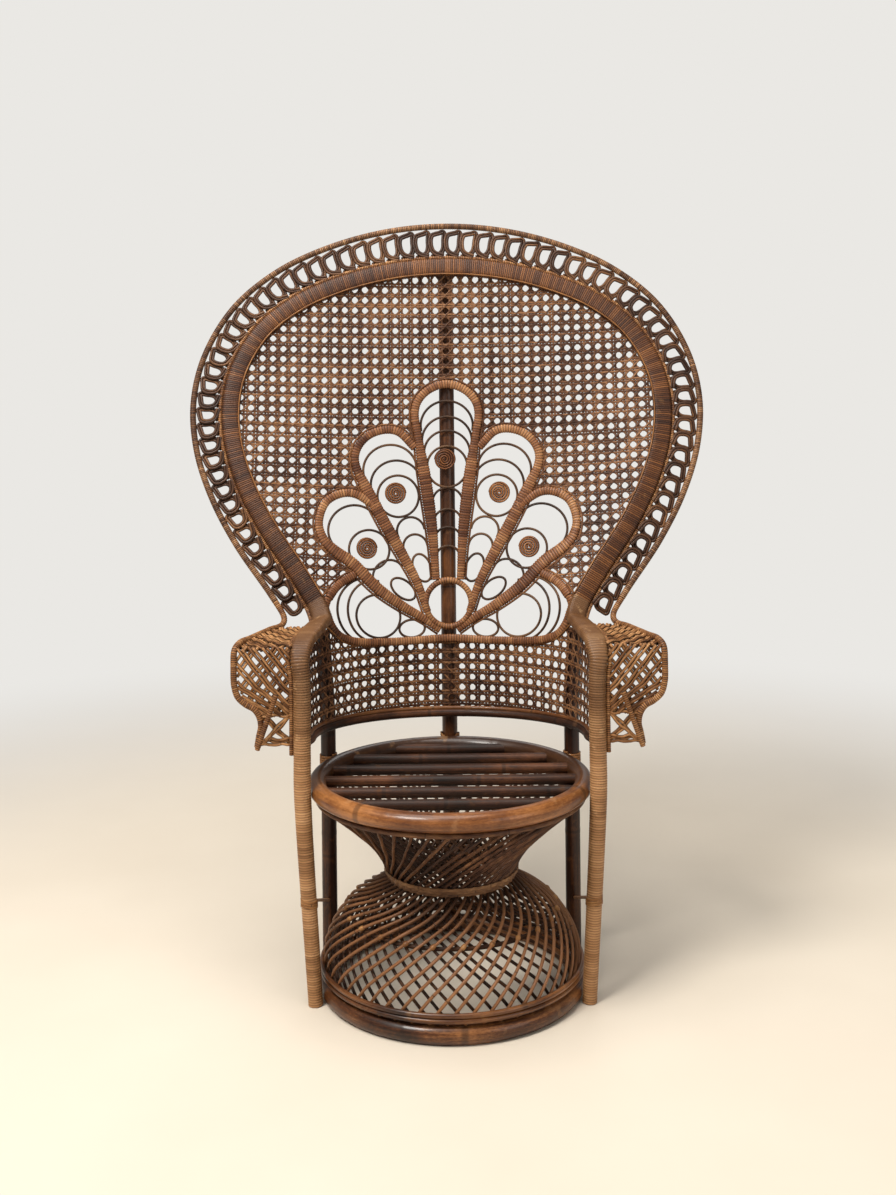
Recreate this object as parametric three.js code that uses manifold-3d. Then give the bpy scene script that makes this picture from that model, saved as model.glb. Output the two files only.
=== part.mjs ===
import * as THREE from 'three';
import { mergeVertices } from 'three/addons/utils/BufferGeometryUtils.js';
import Module from 'manifold-3d';

const wasm = await Module();
wasm.setup();

// Peacock chair of bent rattan poles, wrapped cane and open caning. Sizes are in millimetres.
// -Y is the front, +Z up, and +X is right as seen from the front. The pieces are made about the
// middle of the seat, and the whole chair is then set over the middle of its own footprint.

// Seat and floor rings
const seatRingRadius = 250;
const seatRingThickness = 34;
const seatRingHeight = 380;
const floorRingInsetDepth = 17;
const floorRingThickness = 35;
const floorFlat = 2;
const innerRingThickness = 16;
const seatPoleThickness = 20;
const seatPoleCount = 6;
const seatPoleFrontGap = 99.5;
const seatPoleRearGap = 35.5;

// Hourglass base of slanting reeds
const reedCount = 30;
const liningReedCount = 15;
const reedThickness = 6.5;
const reedTwist = 115;
const topHoopThickness = 10;
const thinHoopThickness = 9;
const liningHoopThickness = 8;
const liningDepth = 10;
const waistBindingWidth = 7;
const waistBindingHeight = 14;
const waistBindingRise = 8;

// Legs and posts
const footThickness = 27;
const frontPostThickness = 32;
const frontPostDepth = 90;
const rearPostThickness = 30;
const rearPostAngle = 30.4;
const centrePostThickness = 32;
const centrePostBendRise = 180;
const postBindingWall = 4;
const postBindingHeight = 26;
const legTieThickness = 6;
const legTieFrontHeight = 190;
const legTieRearHeight = 100;

// Low back wall, its foot above the seat ring
const wallThickness = 3.5;
const wallBackRise = 64;
const wallFrontRise = 90;
const wallRimThickness = 16;
const wallRodThickness = 8;
const wallFlare = 12;

// Fan back, its neck above the arms' corners
const fanHalfWidth = 537;
const fanRise = 842;
const fanNeckRise = 18;
const fanNeckDepth = 150;
const fanTilt = 15;
const outerRimThickness = 13;
const loopWidthTop = 62;
const loopWidthSide = 46;
const loopWidthNeck = 34;
const loopCount = 48;
const loopThickness = 8;
const trimThickness = 8.5;
const bandWidth = 38;
const bandThickness = 22;
const panelThickness = 3.5;

// Peacock motif
const motifRailHeight = 33;
const petalWidth = 21;
const petalThickness = 13;
const railWidth = 17;
const spokeWidth = 25;
const hoopThickness = 4.5;
const rosetteRadius = 24;
const rosetteThickness = 9;

// Arms, their corners and tails above the seat ring
const armCornerRise = 272;
const armRimThickness = 12;
const armWidth = 97;
const armTailRise = 82;
const armStrutThickness = 9;
const armSkinThickness = 4;

// The gap that pieces lying against each other keep
const fitGap = 0.3;

const { lerp, clamp, smoothstep, degToRad } = THREE.MathUtils;
const range = (count) => Array.from({ length: count }, (_, index) => index);
const point = (x, y, z) => new THREE.Vector3(x, y, z);
const polar = (radius, degrees, z) => point(
  radius * Math.cos(degToRad(degrees)), radius * Math.sin(degToRad(degrees)), z);
const upward = point(0, 0, 1);

// Closed bodies

// A geometry from corners and triangles, turned so that its faces point out.
function closedGeometry(corners, faces) {
  const geometry = new THREE.BufferGeometry();
  geometry.setAttribute('position', new THREE.Float32BufferAttribute(corners.flatMap((p) => p.toArray()), 3));
  let volume = 0;
  const cross = new THREE.Vector3();
  for (const index of range(faces.length / 3)) {
    const [a, b, c] = faces.slice(index * 3, index * 3 + 3).map((corner) => corners[corner]);
    volume += a.dot(cross.crossVectors(b, c));
  }
  geometry.setIndex(volume > 0 ? faces : faces.slice().reverse());
  return geometry;
}

const roundSection = (sides) => range(sides).map((index) => {
  const angle = (Math.PI * (2 * index + 1)) / sides;
  return [Math.cos(angle), Math.sin(angle)];
});

// The wrapped band's rounded section, as shares of its half width and half thickness
const bandSectionShares = [
  [1, 0.42], [0.78, 1], [-0.78, 1], [-1, 0.42], [-1, -0.42], [-0.78, -1], [0.78, -1], [1, -0.42],
];
const poleSectionShares = [[1, 0], [0.55, 1], [-0.55, 1], [-1, 0], [-0.55, -1], [0.55, -1]];

// A body through stations, each a section laid out on its own two directions.
function skin(stations, section, closed = false) {
  const corners = [];
  const faces = [];
  const count = section.length;
  for (const station of stations) {
    for (const [a, b] of station.section ?? section) {
      corners.push(station.at.clone()
        .addScaledVector(station.across, a * station.wide)
        .addScaledVector(station.over, b * station.deep));
    }
  }
  const rings = stations.length;
  for (const ring of range(closed ? rings : rings - 1)) {
    for (const side of range(count)) {
      const here = ring * count;
      const next = ((ring + 1) % rings) * count;
      const turn = (side + 1) % count;
      faces.push(here + side, here + turn, next + turn, here + side, next + turn, next + side);
    }
  }
  if (!closed) {
    const last = (rings - 1) * count;
    for (const side of range(count - 2)) {
      faces.push(0, side + 2, side + 1, last, last + side + 1, last + side + 2);
    }
  }
  return closedGeometry(corners, faces);
}

const smoothCurve = (points, closed = false) => new THREE.CatmullRomCurve3(points, closed, 'centripetal');

// Stations along a curve. The guide is the direction that a section's width follows.
function stationsAlong(curve, steps, size, guide = null) {
  const stations = [];
  let across = null;
  for (const index of range(steps + 1)) {
    const share = index / steps;
    const at = curve.getPointAt(share);
    const tangent = curve.getTangentAt(share);
    const start = Math.abs(tangent.z) < 0.8 ? upward : point(1, 0, 0);
    const wish = guide ? guide(share, at) : (across ?? start);
    across = wish.clone().addScaledVector(tangent, -wish.dot(tangent)).normalize();
    const over = tangent.clone().cross(across);
    const [wide, deep] = size(share);
    stations.push({ at, across, over, wide, deep });
  }
  return stations;
}

function tube(points, thickness, steps, sides = 6) {
  const half = thickness / 2;
  return skin(stationsAlong(smoothCurve(points), steps, () => [half, half]), roundSection(sides));
}

// A ring turned from a closed profile of radius and height.
function turned(profile, segments) {
  const closedProfile = [...profile, profile[0]].map(([radius, height]) => new THREE.Vector2(radius, height));
  return new THREE.LatheGeometry(closedProfile, segments).rotateX(Math.PI / 2);
}

// A round ring whose section has a corner at its top.
function ring(radius, thickness, height, sides, segments) {
  return turned(range(sides).map((index) => {
    const angle = Math.PI / 2 + (2 * Math.PI * index) / sides;
    return [radius + (Math.cos(angle) * thickness) / 2, height + (Math.sin(angle) * thickness) / 2];
  }), segments);
}

// How far the flat sides of a round shape with corners lie from its middle
const flatReach = (thickness, sides) => (thickness / 2) * Math.cos(Math.PI / sides);

// A plate on a surface, with the cells that kept refuses left open.
function plate(surface, across, along, thickness, kept = () => true) {
  const step = 1e-3;
  const corners = [];
  const faces = [];
  const sheet = (across.length) * (along.length);
  const sides = [thickness / 2, -thickness / 2].map((lift) => range(sheet).map((index) => {
    const a = across[index % across.length];
    const b = along[Math.floor(index / across.length)];
    const stepA = a > 0.5 ? -step : step;
    const stepB = b > 0.5 ? -step : step;
    const at = surface(a, b);
    const slopeA = surface(a + stepA, b).sub(at).divideScalar(stepA);
    const slopeB = surface(a, b + stepB).sub(at).divideScalar(stepB);
    return at.addScaledVector(slopeA.cross(slopeB).normalize(), lift);
  }));
  corners.push(...sides[0], ...sides[1]);
  const cellKept = (i, j) => i >= 0 && j >= 0 && i < across.length - 1 && j < along.length - 1 && kept(i, j);
  const corner = (i, j) => j * across.length + i;
  const quad = (a, b, c, d) => faces.push(a, b, c, a, c, d);
  for (const j of range(along.length - 1)) {
    for (const i of range(across.length - 1)) {
      if (!cellKept(i, j)) continue;
      const cell = [corner(i, j), corner(i + 1, j), corner(i + 1, j + 1), corner(i, j + 1)];
      quad(...cell);
      quad(...cell.map((index) => index + sheet).reverse());
      const neighbours = [[i, j - 1], [i + 1, j], [i, j + 1], [i - 1, j]];
      neighbours.forEach(([p, q], side) => {
        if (cellKept(p, q)) return;
        const from = cell[side];
        const to = cell[(side + 1) % cell.length];
        quad(to, from, from + sheet, to + sheet);
      });
    }
  }
  return closedGeometry(corners, faces);
}

const evenShares = (count) => range(count + 1).map((index) => index / count);

// Shares of a row of openings between bars, the bars taking the given part of the pitch.
const barredShares = (count, bar) => range(count).flatMap((index) => [index / count, (index + bar) / count])
  .concat([1, 1 + bar / count]).map((share) => share / (1 + bar / count));
const openCell = (i, j) => i % 2 === 1 && j % 2 === 1;

// Joining and cutting

function merged(geometry) {
  const plain = geometry.clone();
  plain.deleteAttribute('normal');
  plain.deleteAttribute('uv');
  return mergeVertices(plain);
}

function toSolid(geometry) {
  const plain = merged(geometry);
  return new wasm.Manifold(new wasm.Mesh({
    numProp: 3,
    vertProperties: new Float32Array(plain.attributes.position.array),
    triVerts: new Uint32Array(plain.index.array),
  }));
}

function fromSolid(solid) {
  const mesh = solid.getMesh();
  const geometry = new THREE.BufferGeometry();
  geometry.setAttribute('position', new THREE.BufferAttribute(new Float32Array(mesh.vertProperties), 3));
  geometry.setIndex(new THREE.BufferAttribute(new Uint32Array(mesh.triVerts), 1));
  return geometry;
}

const joined = (...geometries) => fromSolid(
  geometries.map(toSolid).reduce((whole, piece) => whole.add(piece)));

// The body that is left of a piece once its neighbours' room is cut from it, without its offcuts.
function cutBy(geometry, ...tools) {
  const left = tools.map(toSolid).reduce((rest, tool) => rest.subtract(tool), toSolid(geometry));
  const bodies = left.decompose().sort((a, b) => b.volume() - a.volume());
  return fromSolid(bodies[0]);
}

// The same piece for the other side, with its faces turned out again.
function mirrored(geometry) {
  const copy = merged(geometry).scale(-1, 1, 1);
  copy.setIndex(Array.from(copy.index.array).reverse());
  return copy;
}

const pairOf = (geometry) => [geometry, mirrored(geometry)];

// Materials
const glossyRattan = { color: 0x7a4524, roughness: 0.32, metalness: 0 };
const darkRattan = { color: 0x2e1a10, roughness: 0.28, metalness: 0 };
const wrappedCane = { color: 0x99683c, roughness: 0.5, metalness: 0 };
const wovenCane = { color: 0x7d563a, roughness: 0.6, metalness: 0 };
const brownReed = { color: 0x5f3f2a, roughness: 0.55, metalness: 0 };

const chair = new THREE.Group();
function addPiece(name, geometry, finish) {
  const mesh = new THREE.Mesh(geometry, new THREE.MeshStandardMaterial(finish));
  mesh.name = name;
  chair.add(mesh);
  return geometry;
}

// Both sides of a piece made for the right, which is +X
function addPair(name, geometry, finish) {
  addPiece(`${name}_right`, geometry, finish);
  addPiece(`${name}_left`, mirrored(geometry), finish);
}

// Seat and floor rings

const seatRingOuter = seatRingRadius + seatRingThickness / 2;
const wallBackHeight = seatRingHeight + wallBackRise;
const wallFrontHeight = seatRingHeight + wallFrontRise;
const armTailHeight = seatRingHeight + armTailRise;
const armCornerHeight = seatRingHeight + armCornerRise;
const fanNeckHeight = armCornerHeight + fanNeckRise;
const floorRingRadius = seatRingRadius - floorRingInsetDepth;
const floorRingCentre = floorRingThickness / 2 - floorFlat;
const floorRingSides = 8;
const floorRingTop = floorRingCentre + flatReach(floorRingThickness, floorRingSides);
const floorRingOuter = floorRingRadius + floorRingThickness / 2;
// The poles lie level with the seat ring, on the inner ring
const innerRingDrop = (innerRingThickness + seatPoleThickness) / 2 + fitGap;
const innerRingSides = 6;
const innerRingRadius = seatRingRadius - Math.sqrt(
  ((seatRingThickness + innerRingThickness) / 2 + fitGap) ** 2 - innerRingDrop ** 2);
const innerRingHeight = seatRingHeight - innerRingDrop;
const ringSegments = 36;
const flatShare = Math.cos(Math.PI / ringSegments);

function floorRing() {
  const profile = roundSection(floorRingSides).map(([a, b]) => [
    floorRingRadius + (a * floorRingThickness) / 2,
    Math.max(0, floorRingCentre + (b * floorRingThickness) / 2),
  ]);
  return turned(profile, ringSegments);
}

const seatRing = (grow = 0) => ring(
  seatRingRadius, seatRingThickness + 2 * grow, seatRingHeight, 8, ringSegments);

// A pole across the seat, its ends cut to the seat ring's roundness
function seatPole(index) {
  const depth = lerp(
    seatPoleFrontGap - seatRingRadius, seatRingRadius - seatPoleRearGap, index / (seatPoleCount - 1));
  const length = 2 * Math.sqrt(seatRingRadius ** 2 - depth ** 2);
  const pole = new THREE.CylinderGeometry(seatPoleThickness / 2, seatPoleThickness / 2, length, 8)
    .rotateZ(Math.PI / 2).translate(0, depth, seatRingHeight);
  return cutBy(pole, seatRing(fitGap));
}

addPiece('floor_ring', floorRing(), glossyRattan);
addPiece('seat_ring', seatRing(), glossyRattan);
addPiece('seat_inner_ring', ring(
  innerRingRadius, innerRingThickness, innerRingHeight, innerRingSides, ringSegments), darkRattan);
for (const index of range(seatPoleCount)) {
  addPiece(`seat_pole_${index + 1}`, seatPole(index), darkRattan);
}

// Hourglass base

// Height, radius and turn of a reed on its way from the seat ring down to the floor ring,
// as shares of the seat ring's height, the floor ring's radius and the whole twist
const reedShares = [
  [0.829, 0.845, 0.1], [0.7, 0.625, 0.24], [0.534, 0.478, 0.47], [0.47, 0.65, 0.6], [0.39, 0.85, 0.75],
  [0.22, 1.015, 0.91],
];
const topHoopRadius = seatRingRadius;
const topHoopHeight = seatRingHeight - (seatRingThickness + topHoopThickness) / 2 - fitGap;
const reedFootHeight = floorRingTop + fitGap;
const reedFootRadius = floorRingRadius + reedThickness / 2;
const reedPath = [
  { radius: topHoopRadius, height: topHoopHeight, turn: 0 },
  ...reedShares.map(([height, radius, turn]) => ({
    radius: radius * floorRingRadius, height: height * seatRingHeight, turn,
  })),
  { radius: reedFootRadius, height: reedFootHeight, turn: 1 },
];

// The path moved towards the inside of the hourglass.
function liningPath(path, offset) {
  return path.map((place, index) => {
    const before = path[Math.max(0, index - 1)];
    const after = path[Math.min(path.length - 1, index + 1)];
    const slope = new THREE.Vector2(after.radius - before.radius, after.height - before.height).normalize();
    return {
      radius: place.radius + slope.y * offset,
      height: place.height - slope.x * offset,
      turn: place.turn,
    };
  });
}

function reed(path, startAngle, twist) {
  const places = path.map(({ radius, height, turn }) => polar(radius, startAngle + twist * turn, height));
  const stations = places.map((at, index) => {
    const tangent = places[Math.min(places.length - 1, index + 1)].clone()
      .sub(places[Math.max(0, index - 1)]).normalize();
    const across = point(at.x, at.y, 0).normalize();
    across.addScaledVector(tangent, -across.dot(tangent)).normalize();
    const half = reedThickness / 2;
    return { at, across, over: tangent.clone().cross(across), wide: half, deep: half };
  });
  const foot = stations[stations.length - 1];
  foot.across = point(foot.at.x, foot.at.y, 0).normalize();
  foot.over = foot.across.clone().cross(upward);
  return skin(stations, roundSection(3));
}

function reedLayer(path, count, twist, ...hoops) {
  return joined(...hoops, ...range(count).map((index) => reed(path, (360 * index) / count, twist)));
}

const waistRadius = Math.min(...reedPath.map((place) => place.radius));
const waistIndex = reedPath.findIndex((place) => place.radius === waistRadius);
const waistHeight = reedPath[waistIndex].height;
const liningHoopRadius = innerRingRadius - flatReach(innerRingThickness, innerRingSides)
  - liningHoopThickness / 2 - fitGap;
const liningHoopHeight = innerRingHeight;
const upperLining = [
  { radius: liningHoopRadius, height: liningHoopHeight, turn: 0 },
  ...liningPath(reedPath, liningDepth).slice(1, waistIndex + 1),
];
const lowerLining = liningPath(reedPath, liningDepth).slice(waistIndex + 2);
lowerLining[lowerLining.length - 1].height = reedFootHeight;
const shoulderHoop = lowerLining[0];

addPiece('base_reeds', reedLayer(reedPath, reedCount, -reedTwist,
  ring(topHoopRadius, topHoopThickness, topHoopHeight, 4, ringSegments)), brownReed);
addPiece('base_upper_lining', reedLayer(upperLining, liningReedCount, reedTwist,
  ring(liningHoopRadius, liningHoopThickness, liningHoopHeight, 4, ringSegments)), brownReed);
addPiece('base_lower_lining', reedLayer(lowerLining, liningReedCount, reedTwist,
  ring(shoulderHoop.radius, liningHoopThickness, shoulderHoop.height, 4, ringSegments)), brownReed);

// The binding follows the slope of the reeds just above the waist
const aboveWaist = reedPath[waistIndex - 1];
function bindingEdge(height) {
  const rise = (height - waistHeight) / (aboveWaist.height - waistHeight);
  const reedOutside = lerp(waistRadius, aboveWaist.radius, rise) + reedThickness / 2;
  return reedOutside / flatShare;
}
const bindingBottom = waistHeight + waistBindingRise - waistBindingHeight / 2;
const bindingTop = bindingBottom + waistBindingHeight;
addPiece('waist_binding', turned([
  [bindingEdge(bindingBottom), bindingBottom],
  [bindingEdge(bindingBottom) + waistBindingWidth, bindingBottom],
  [bindingEdge(bindingTop) + waistBindingWidth, bindingTop],
  [bindingEdge(bindingTop), bindingTop],
], ringSegments), wrappedCane);

// A reed's three flat sides reach half as far out as its corners
const reedReach = reedThickness / 4;
const thinHoopRadius = (reedFootRadius + reedReach + thinHoopThickness / 2) / flatShare + fitGap;
const lowerHoopHeight = floorRingCentre + Math.sqrt(
  ((floorRingThickness + thinHoopThickness) / 2 + fitGap) ** 2 - (thinHoopRadius - floorRingRadius) ** 2);
for (const [index, name] of ['floor_hoop_lower', 'floor_hoop_upper'].entries()) {
  addPiece(name, ring(thinHoopRadius, thinHoopThickness,
    lowerHoopHeight + index * (thinHoopThickness + fitGap), 4, ringSegments), glossyRattan);
}

// Fan plane

// The fan's outer edge from its top to its right neck, as shares of its half width and its rise
const fanOutlineShares = [
  [0, 1], [0.24, 0.986], [0.477, 0.943], [0.683, 0.877], [0.853, 0.78], [0.963, 0.651], [1, 0.526],
  [0.98, 0.404], [0.914, 0.283], [0.813, 0.166], [0.683, 0.05], [0.612, -0.018],
];
const sideLoopShare = 0.6;

const tiltSine = Math.sin(degToRad(fanTilt));
const tiltCosine = Math.cos(degToRad(fanTilt));

// A place on the leaning plane: to the side, up the plane, and forward of it.
const fanPoint = (side, rise, forward = 0) => point(
  side,
  fanNeckDepth + rise * tiltSine - forward * tiltCosine,
  fanNeckHeight + rise * tiltCosine + forward * tiltSine);
const fanForward = fanPoint(0, 0, 1).sub(fanPoint(0, 0, 0));

const rightOutline = fanOutlineShares.map(([side, rise]) => point(side * fanHalfWidth, rise * fanRise, 0));
const leftOutline = rightOutline.slice(1).reverse().map((place) => point(-place.x, place.y, 0));
const fanOutline = smoothCurve([...leftOutline, ...rightOutline]);

function loopWidthAt(share) {
  const reach = Math.abs(2 * share - 1);
  return reach < sideLoopShare
    ? lerp(loopWidthTop, loopWidthSide, smoothstep(reach, 0, sideLoopShare))
    : lerp(loopWidthSide, loopWidthNeck, (reach - sideLoopShare) / (1 - sideLoopShare));
}

// A place in the plane, inward from the fan's outer edge.
function inFromEdge(share, inward) {
  const edge = fanOutline.getPointAt(share);
  const tangent = fanOutline.getTangentAt(share);
  return { side: edge.x + tangent.y * inward, rise: edge.y - tangent.x * inward, tangent };
}
const loopOuterDepth = outerRimThickness + 3 * fitGap;
const trimSides = 4;
const trimReach = flatReach(trimThickness, trimSides);
const trimCentreDepth = (share) => loopOuterDepth + loopWidthAt(share) + 2 * fitGap + trimReach;
const bandCentreDepth = (share) => trimCentreDepth(share) + trimReach + bandWidth / 2 + fitGap;
const bandInnerDepth = (share) => bandCentreDepth(share) + bandWidth / 2;

function fanStation(share, inward, wide, deep = wide) {
  const { side, rise, tangent } = inFromEdge(share, inward);
  return {
    at: fanPoint(side, rise),
    across: fanPoint(-tangent.y, tangent.x).sub(fanPoint(0, 0)),
    over: fanForward.clone(),
    wide,
    deep,
  };
}

// Frame: the front posts, the arm tops and the fan's band are one line of bent poles

const fanShares = evenShares(loopCount);
const bandStations = fanShares.map((share) => fanStation(
  share, bandCentreDepth(share), bandWidth / 2, bandThickness / 2));
const neckStation = bandStations[bandStations.length - 1];

const footRadius = floorRingOuter + footThickness / 2 + fitGap;
const postRadius = seatRingOuter + frontPostThickness / 2 + fitGap;
const besideFront = (radius) => Math.sqrt(radius ** 2 - frontPostDepth ** 2);
const postSide = besideFront(postRadius);

// The arm's top from the corner over the front post back to the neck, as shares of the
// way back from the front post to the neck, of the band's width outward, and of its height
// above the corner's start
const armTopShares = [
  [0.016, 0.08, 0.53], [0.08, 0.05, 0.85], [0.2, -0.02, 1], [0.45, -0.15, 1.06], [0.7, -0.3, 1.12],
  [0.88, -0.44, 1.18],
];
const cornerReachShare = 1.6;
const armCornerStart = armCornerHeight - cornerReachShare * bandWidth;
const armDepth = fanNeckDepth + frontPostDepth;
const trimStartHeight = armTailHeight - trimThickness;
const postTop = [
  point(postSide, -frontPostDepth, trimStartHeight),
  point(postSide, -frontPostDepth, armCornerStart),
];
const armTop = armTopShares.map(([back, out, up]) => point(
  postSide + out * bandWidth,
  -frontPostDepth + back * armDepth,
  lerp(armCornerStart, armCornerHeight, up)));
const frameLine = smoothCurve([
  point(besideFront(footRadius), -frontPostDepth, 0),
  point(postSide, -frontPostDepth, seatRingHeight),
  ...postTop,
  ...armTop,
  neckStation.at,
  bandStations[bandStations.length - 3].at,
]);
const frameSpans = frameLine.points.length - 1;
const postSides = 8;
const roundPost = roundSection(postSides);

// Stations of the right front post and arm top, up to the fan's band
const postSpans = [1, 1, 1, 1, 1, 1, 1, 2, 2, 2];
function postStations(grow = 0) {
  const stations = [];
  const spanPlaces = (parts, span) => evenShares(parts).slice(1).map((share) => span + share);
  const places = [0, ...postSpans.flatMap(spanPlaces)];
  for (const place of places.slice(0, -1)) {
    const at = frameLine.getPoint(place / frameSpans);
    const tangent = place === 0 ? upward : frameLine.getTangent(place / frameSpans);
    const turn = smoothstep(place, postSpans.length - 3, postSpans.length);
    const wish = point(1, 0, 0).lerp(neckStation.across, turn);
    const across = wish.addScaledVector(tangent, -wish.dot(tangent)).normalize();
    const flat = smoothstep(place, 3, 5);
    const round = lerp(footThickness, frontPostThickness, clamp(place, 0, 1)) / 2;
    stations.push({
      at, across, over: tangent.clone().cross(across),
      wide: lerp(round, bandWidth / 2, flat) + grow,
      deep: lerp(round, bandThickness / 2, flat) + grow,
      section: roundPost.map(([a, b], index) => [
        lerp(a, bandSectionShares[index][0], flat), lerp(b, bandSectionShares[index][1], flat)]),
    });
  }
  const neckTangent = neckStation.across.clone().cross(neckStation.over);
  const away = Math.sign(neckTangent.z) * -fitGap;
  stations.push({
    ...neckStation,
    at: neckStation.at.clone().addScaledVector(neckTangent, away),
    over: neckStation.over.clone().negate(),
    wide: neckStation.wide + grow,
    deep: neckStation.deep + grow,
    section: bandSectionShares,
  });
  return stations;
}
addPiece('fan_hoop', skin(bandStations, bandSectionShares), wrappedCane);
addPair('front_post', skin(postStations(), roundPost), wrappedCane);

// Trim rod along the outside of the frame, from beside one post over the fan to the other

function trimRod(grow = 0) {
  const reachOf = ({ section = bandSectionShares, wide }) => section[0][0] * wide;
  const beside = (station) => ({
    at: station.at.clone().addScaledVector(station.across, reachOf(station) + fitGap + trimReach),
    across: station.across,
    over: station.over,
    wide: trimThickness / 2 + grow,
    deep: trimThickness / 2 + grow,
  });
  const right = postStations().slice(2, -1).reverse().map(beside);
  for (const station of right) station.over.negate();
  const left = right.slice().reverse().map((station) => ({
    ...station,
    at: station.at.clone().multiply(point(-1, 1, 1)),
    across: station.across.clone().multiply(point(-1, 1, 1)),
    over: station.over.clone().multiply(point(-1, 1, 1)),
  }));
  return skin([...left, ...bandStations.map(beside), ...right], roundSection(trimSides));
}
addPiece('trim_rod', trimRod(), wrappedCane);

// Outer rim and the border of loops inside it

const rimStations = fanShares.map((share) => fanStation(share, outerRimThickness / 2, outerRimThickness / 2));
addPiece('outer_rim', skin(rimStations, roundSection(5)), wrappedCane);

const loopBarShare = 0.3;
const loopEdgeShares = [0, 0.13, 0.84, 1];
function loopSurface(share, inward) {
  const depth = lerp(loopOuterDepth, loopOuterDepth + loopWidthAt(share), inward);
  const { side, rise } = inFromEdge(share, depth);
  return fanPoint(side, rise);
}
// The border has one opening to each loop, between bars that lean with the loops
addPiece('loop_border', plate(
  loopSurface, barredShares(loopCount, loopBarShare), loopEdgeShares, loopThickness,
  (i, j) => !openCell(i, j)), brownReed);

// Dished caning inside the band

const bandTopRise = inFromEdge(0.5, bandCentreDepth(0.5)).rise;
const centrePostBack = bandThickness / 2 + centrePostThickness / 2 + 2 * fitGap;
const centrePostDepth = postRadius;
const centrePostBendHeight = seatRingHeight + centrePostBendRise;
const postBend = point(0, centrePostDepth, centrePostBendHeight);
const bendRise = (postBend.y - fanNeckDepth) * tiltSine + (postBend.z - fanNeckHeight) * tiltCosine;
const bendBack = (postBend.y - fanNeckDepth) * tiltCosine - (postBend.z - fanNeckHeight) * tiltSine;
const dishOffPost = centrePostThickness / 2 + petalThickness / 2 + 2 * fitGap;
const bandInnerPlaces = fanShares.slice(loopCount / 2).map(
  (share) => inFromEdge(share, bandInnerDepth(share)));

// How far the caning lies behind the fan's plane
const centreBack = (rise) => lerp(
  bendBack, centrePostBack, (rise - bendRise) / (bandTopRise - bendRise)) - dishOffPost;
function innerSideAt(rise) {
  const last = bandInnerPlaces[bandInnerPlaces.length - 1];
  if (rise <= last.rise) return last.side;
  const below = bandInnerPlaces.findIndex((place) => place.rise <= rise);
  if (below <= 0) return bandInnerPlaces[0].side;
  const [high, low] = [bandInnerPlaces[below - 1], bandInnerPlaces[below]];
  return lerp(low.side, high.side, (rise - low.rise) / (high.rise - low.rise));
}

// The right side of the caning's edge at the neck, as shares of the neck's inner side and rise
const neckEdgeShares = [[0.925, -1.02], [0.925, -0.2], [0.955, 0.45]];
const caneClearance = 5 * fitGap;
const lastInner = bandInnerPlaces[bandInnerPlaces.length - 1];
const rightCaneEdge = [
  ...bandInnerPlaces.filter((_, index) => index % 4 === 0).map(({ side, rise }) => point(side, rise, 0)),
  ...neckEdgeShares.toReversed().map(
    ([side, rise]) => point(side * lastInner.side, rise * lastInner.rise, 0)),
];
const leftCaneEdge = rightCaneEdge.slice(1).reverse().map((place) => point(-place.x, place.y, 0));
const caneEdge = smoothCurve([...leftCaneEdge, ...rightCaneEdge]);

// A place on the dished surface, lifted off it towards the front.
function dishPoint(side, rise, lift = 0) {
  const share = Math.min(1, Math.abs(side) / innerSideAt(rise));
  return fanPoint(side, rise, lift - centreBack(rise) * (1 - share ** 2));
}

// The way straight out of the dished surface, towards the front
function dishNormal(side, rise) {
  const at = dishPoint(side, rise);
  const acrossStep = dishPoint(side + panelThickness, rise).sub(at);
  return acrossStep.cross(dishPoint(side, rise + panelThickness).sub(at)).normalize();
}

// Motif outlines on the right half, as shares of the motif's half width and of its rise above
// its bottom rail: the lines along the middle of each wrapped pole
const motifHalfWidth = 269;
const motifRise = 531;
const railRise = bendRise + motifRailHeight;
const centrePetalShares = [
  [0, 1], [0.145, 0.976], [0.23, 0.932], [0.257, 0.883], [0.234, 0.795], [0.178, 0.614], [0.13, 0.429],
  [0.1, 0.235],
];
const middlePetalShares = [
  [0.25, 0.745], [0.379, 0.808], [0.483, 0.817], [0.61, 0.797], [0.695, 0.755], [0.729, 0.706],
  [0.714, 0.655], [0.669, 0.608], [0.509, 0.452], [0.372, 0.33], [0.245, 0.209], [0.2, 0.12],
];
const lowerPetalShares = [
  [0.545, 0.505], [0.721, 0.559], [0.829, 0.559], [0.948, 0.522], [1, 0.435], [0.959, 0.367],
  [0.877, 0.326], [0.743, 0.279], [0.554, 0.186], [0.361, 0.119], [0.193, 0.072], [0.07, 0.03],
];
const lobeTopShares = [[0.72, 0.238], [0.79, 0.214], [0.855, 0.182], [0.905, 0.135]];
const lobeFootShares = [[0.905, 0.07], [0.875, 0.03], [0.82, -0.004], [0.73, -0.02], [0.62, -0.023]];
const railShares = [[0, 0], [0.31, -0.012], [0.62, -0.023]];
const motifDrawnShare = 1.974;
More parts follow.
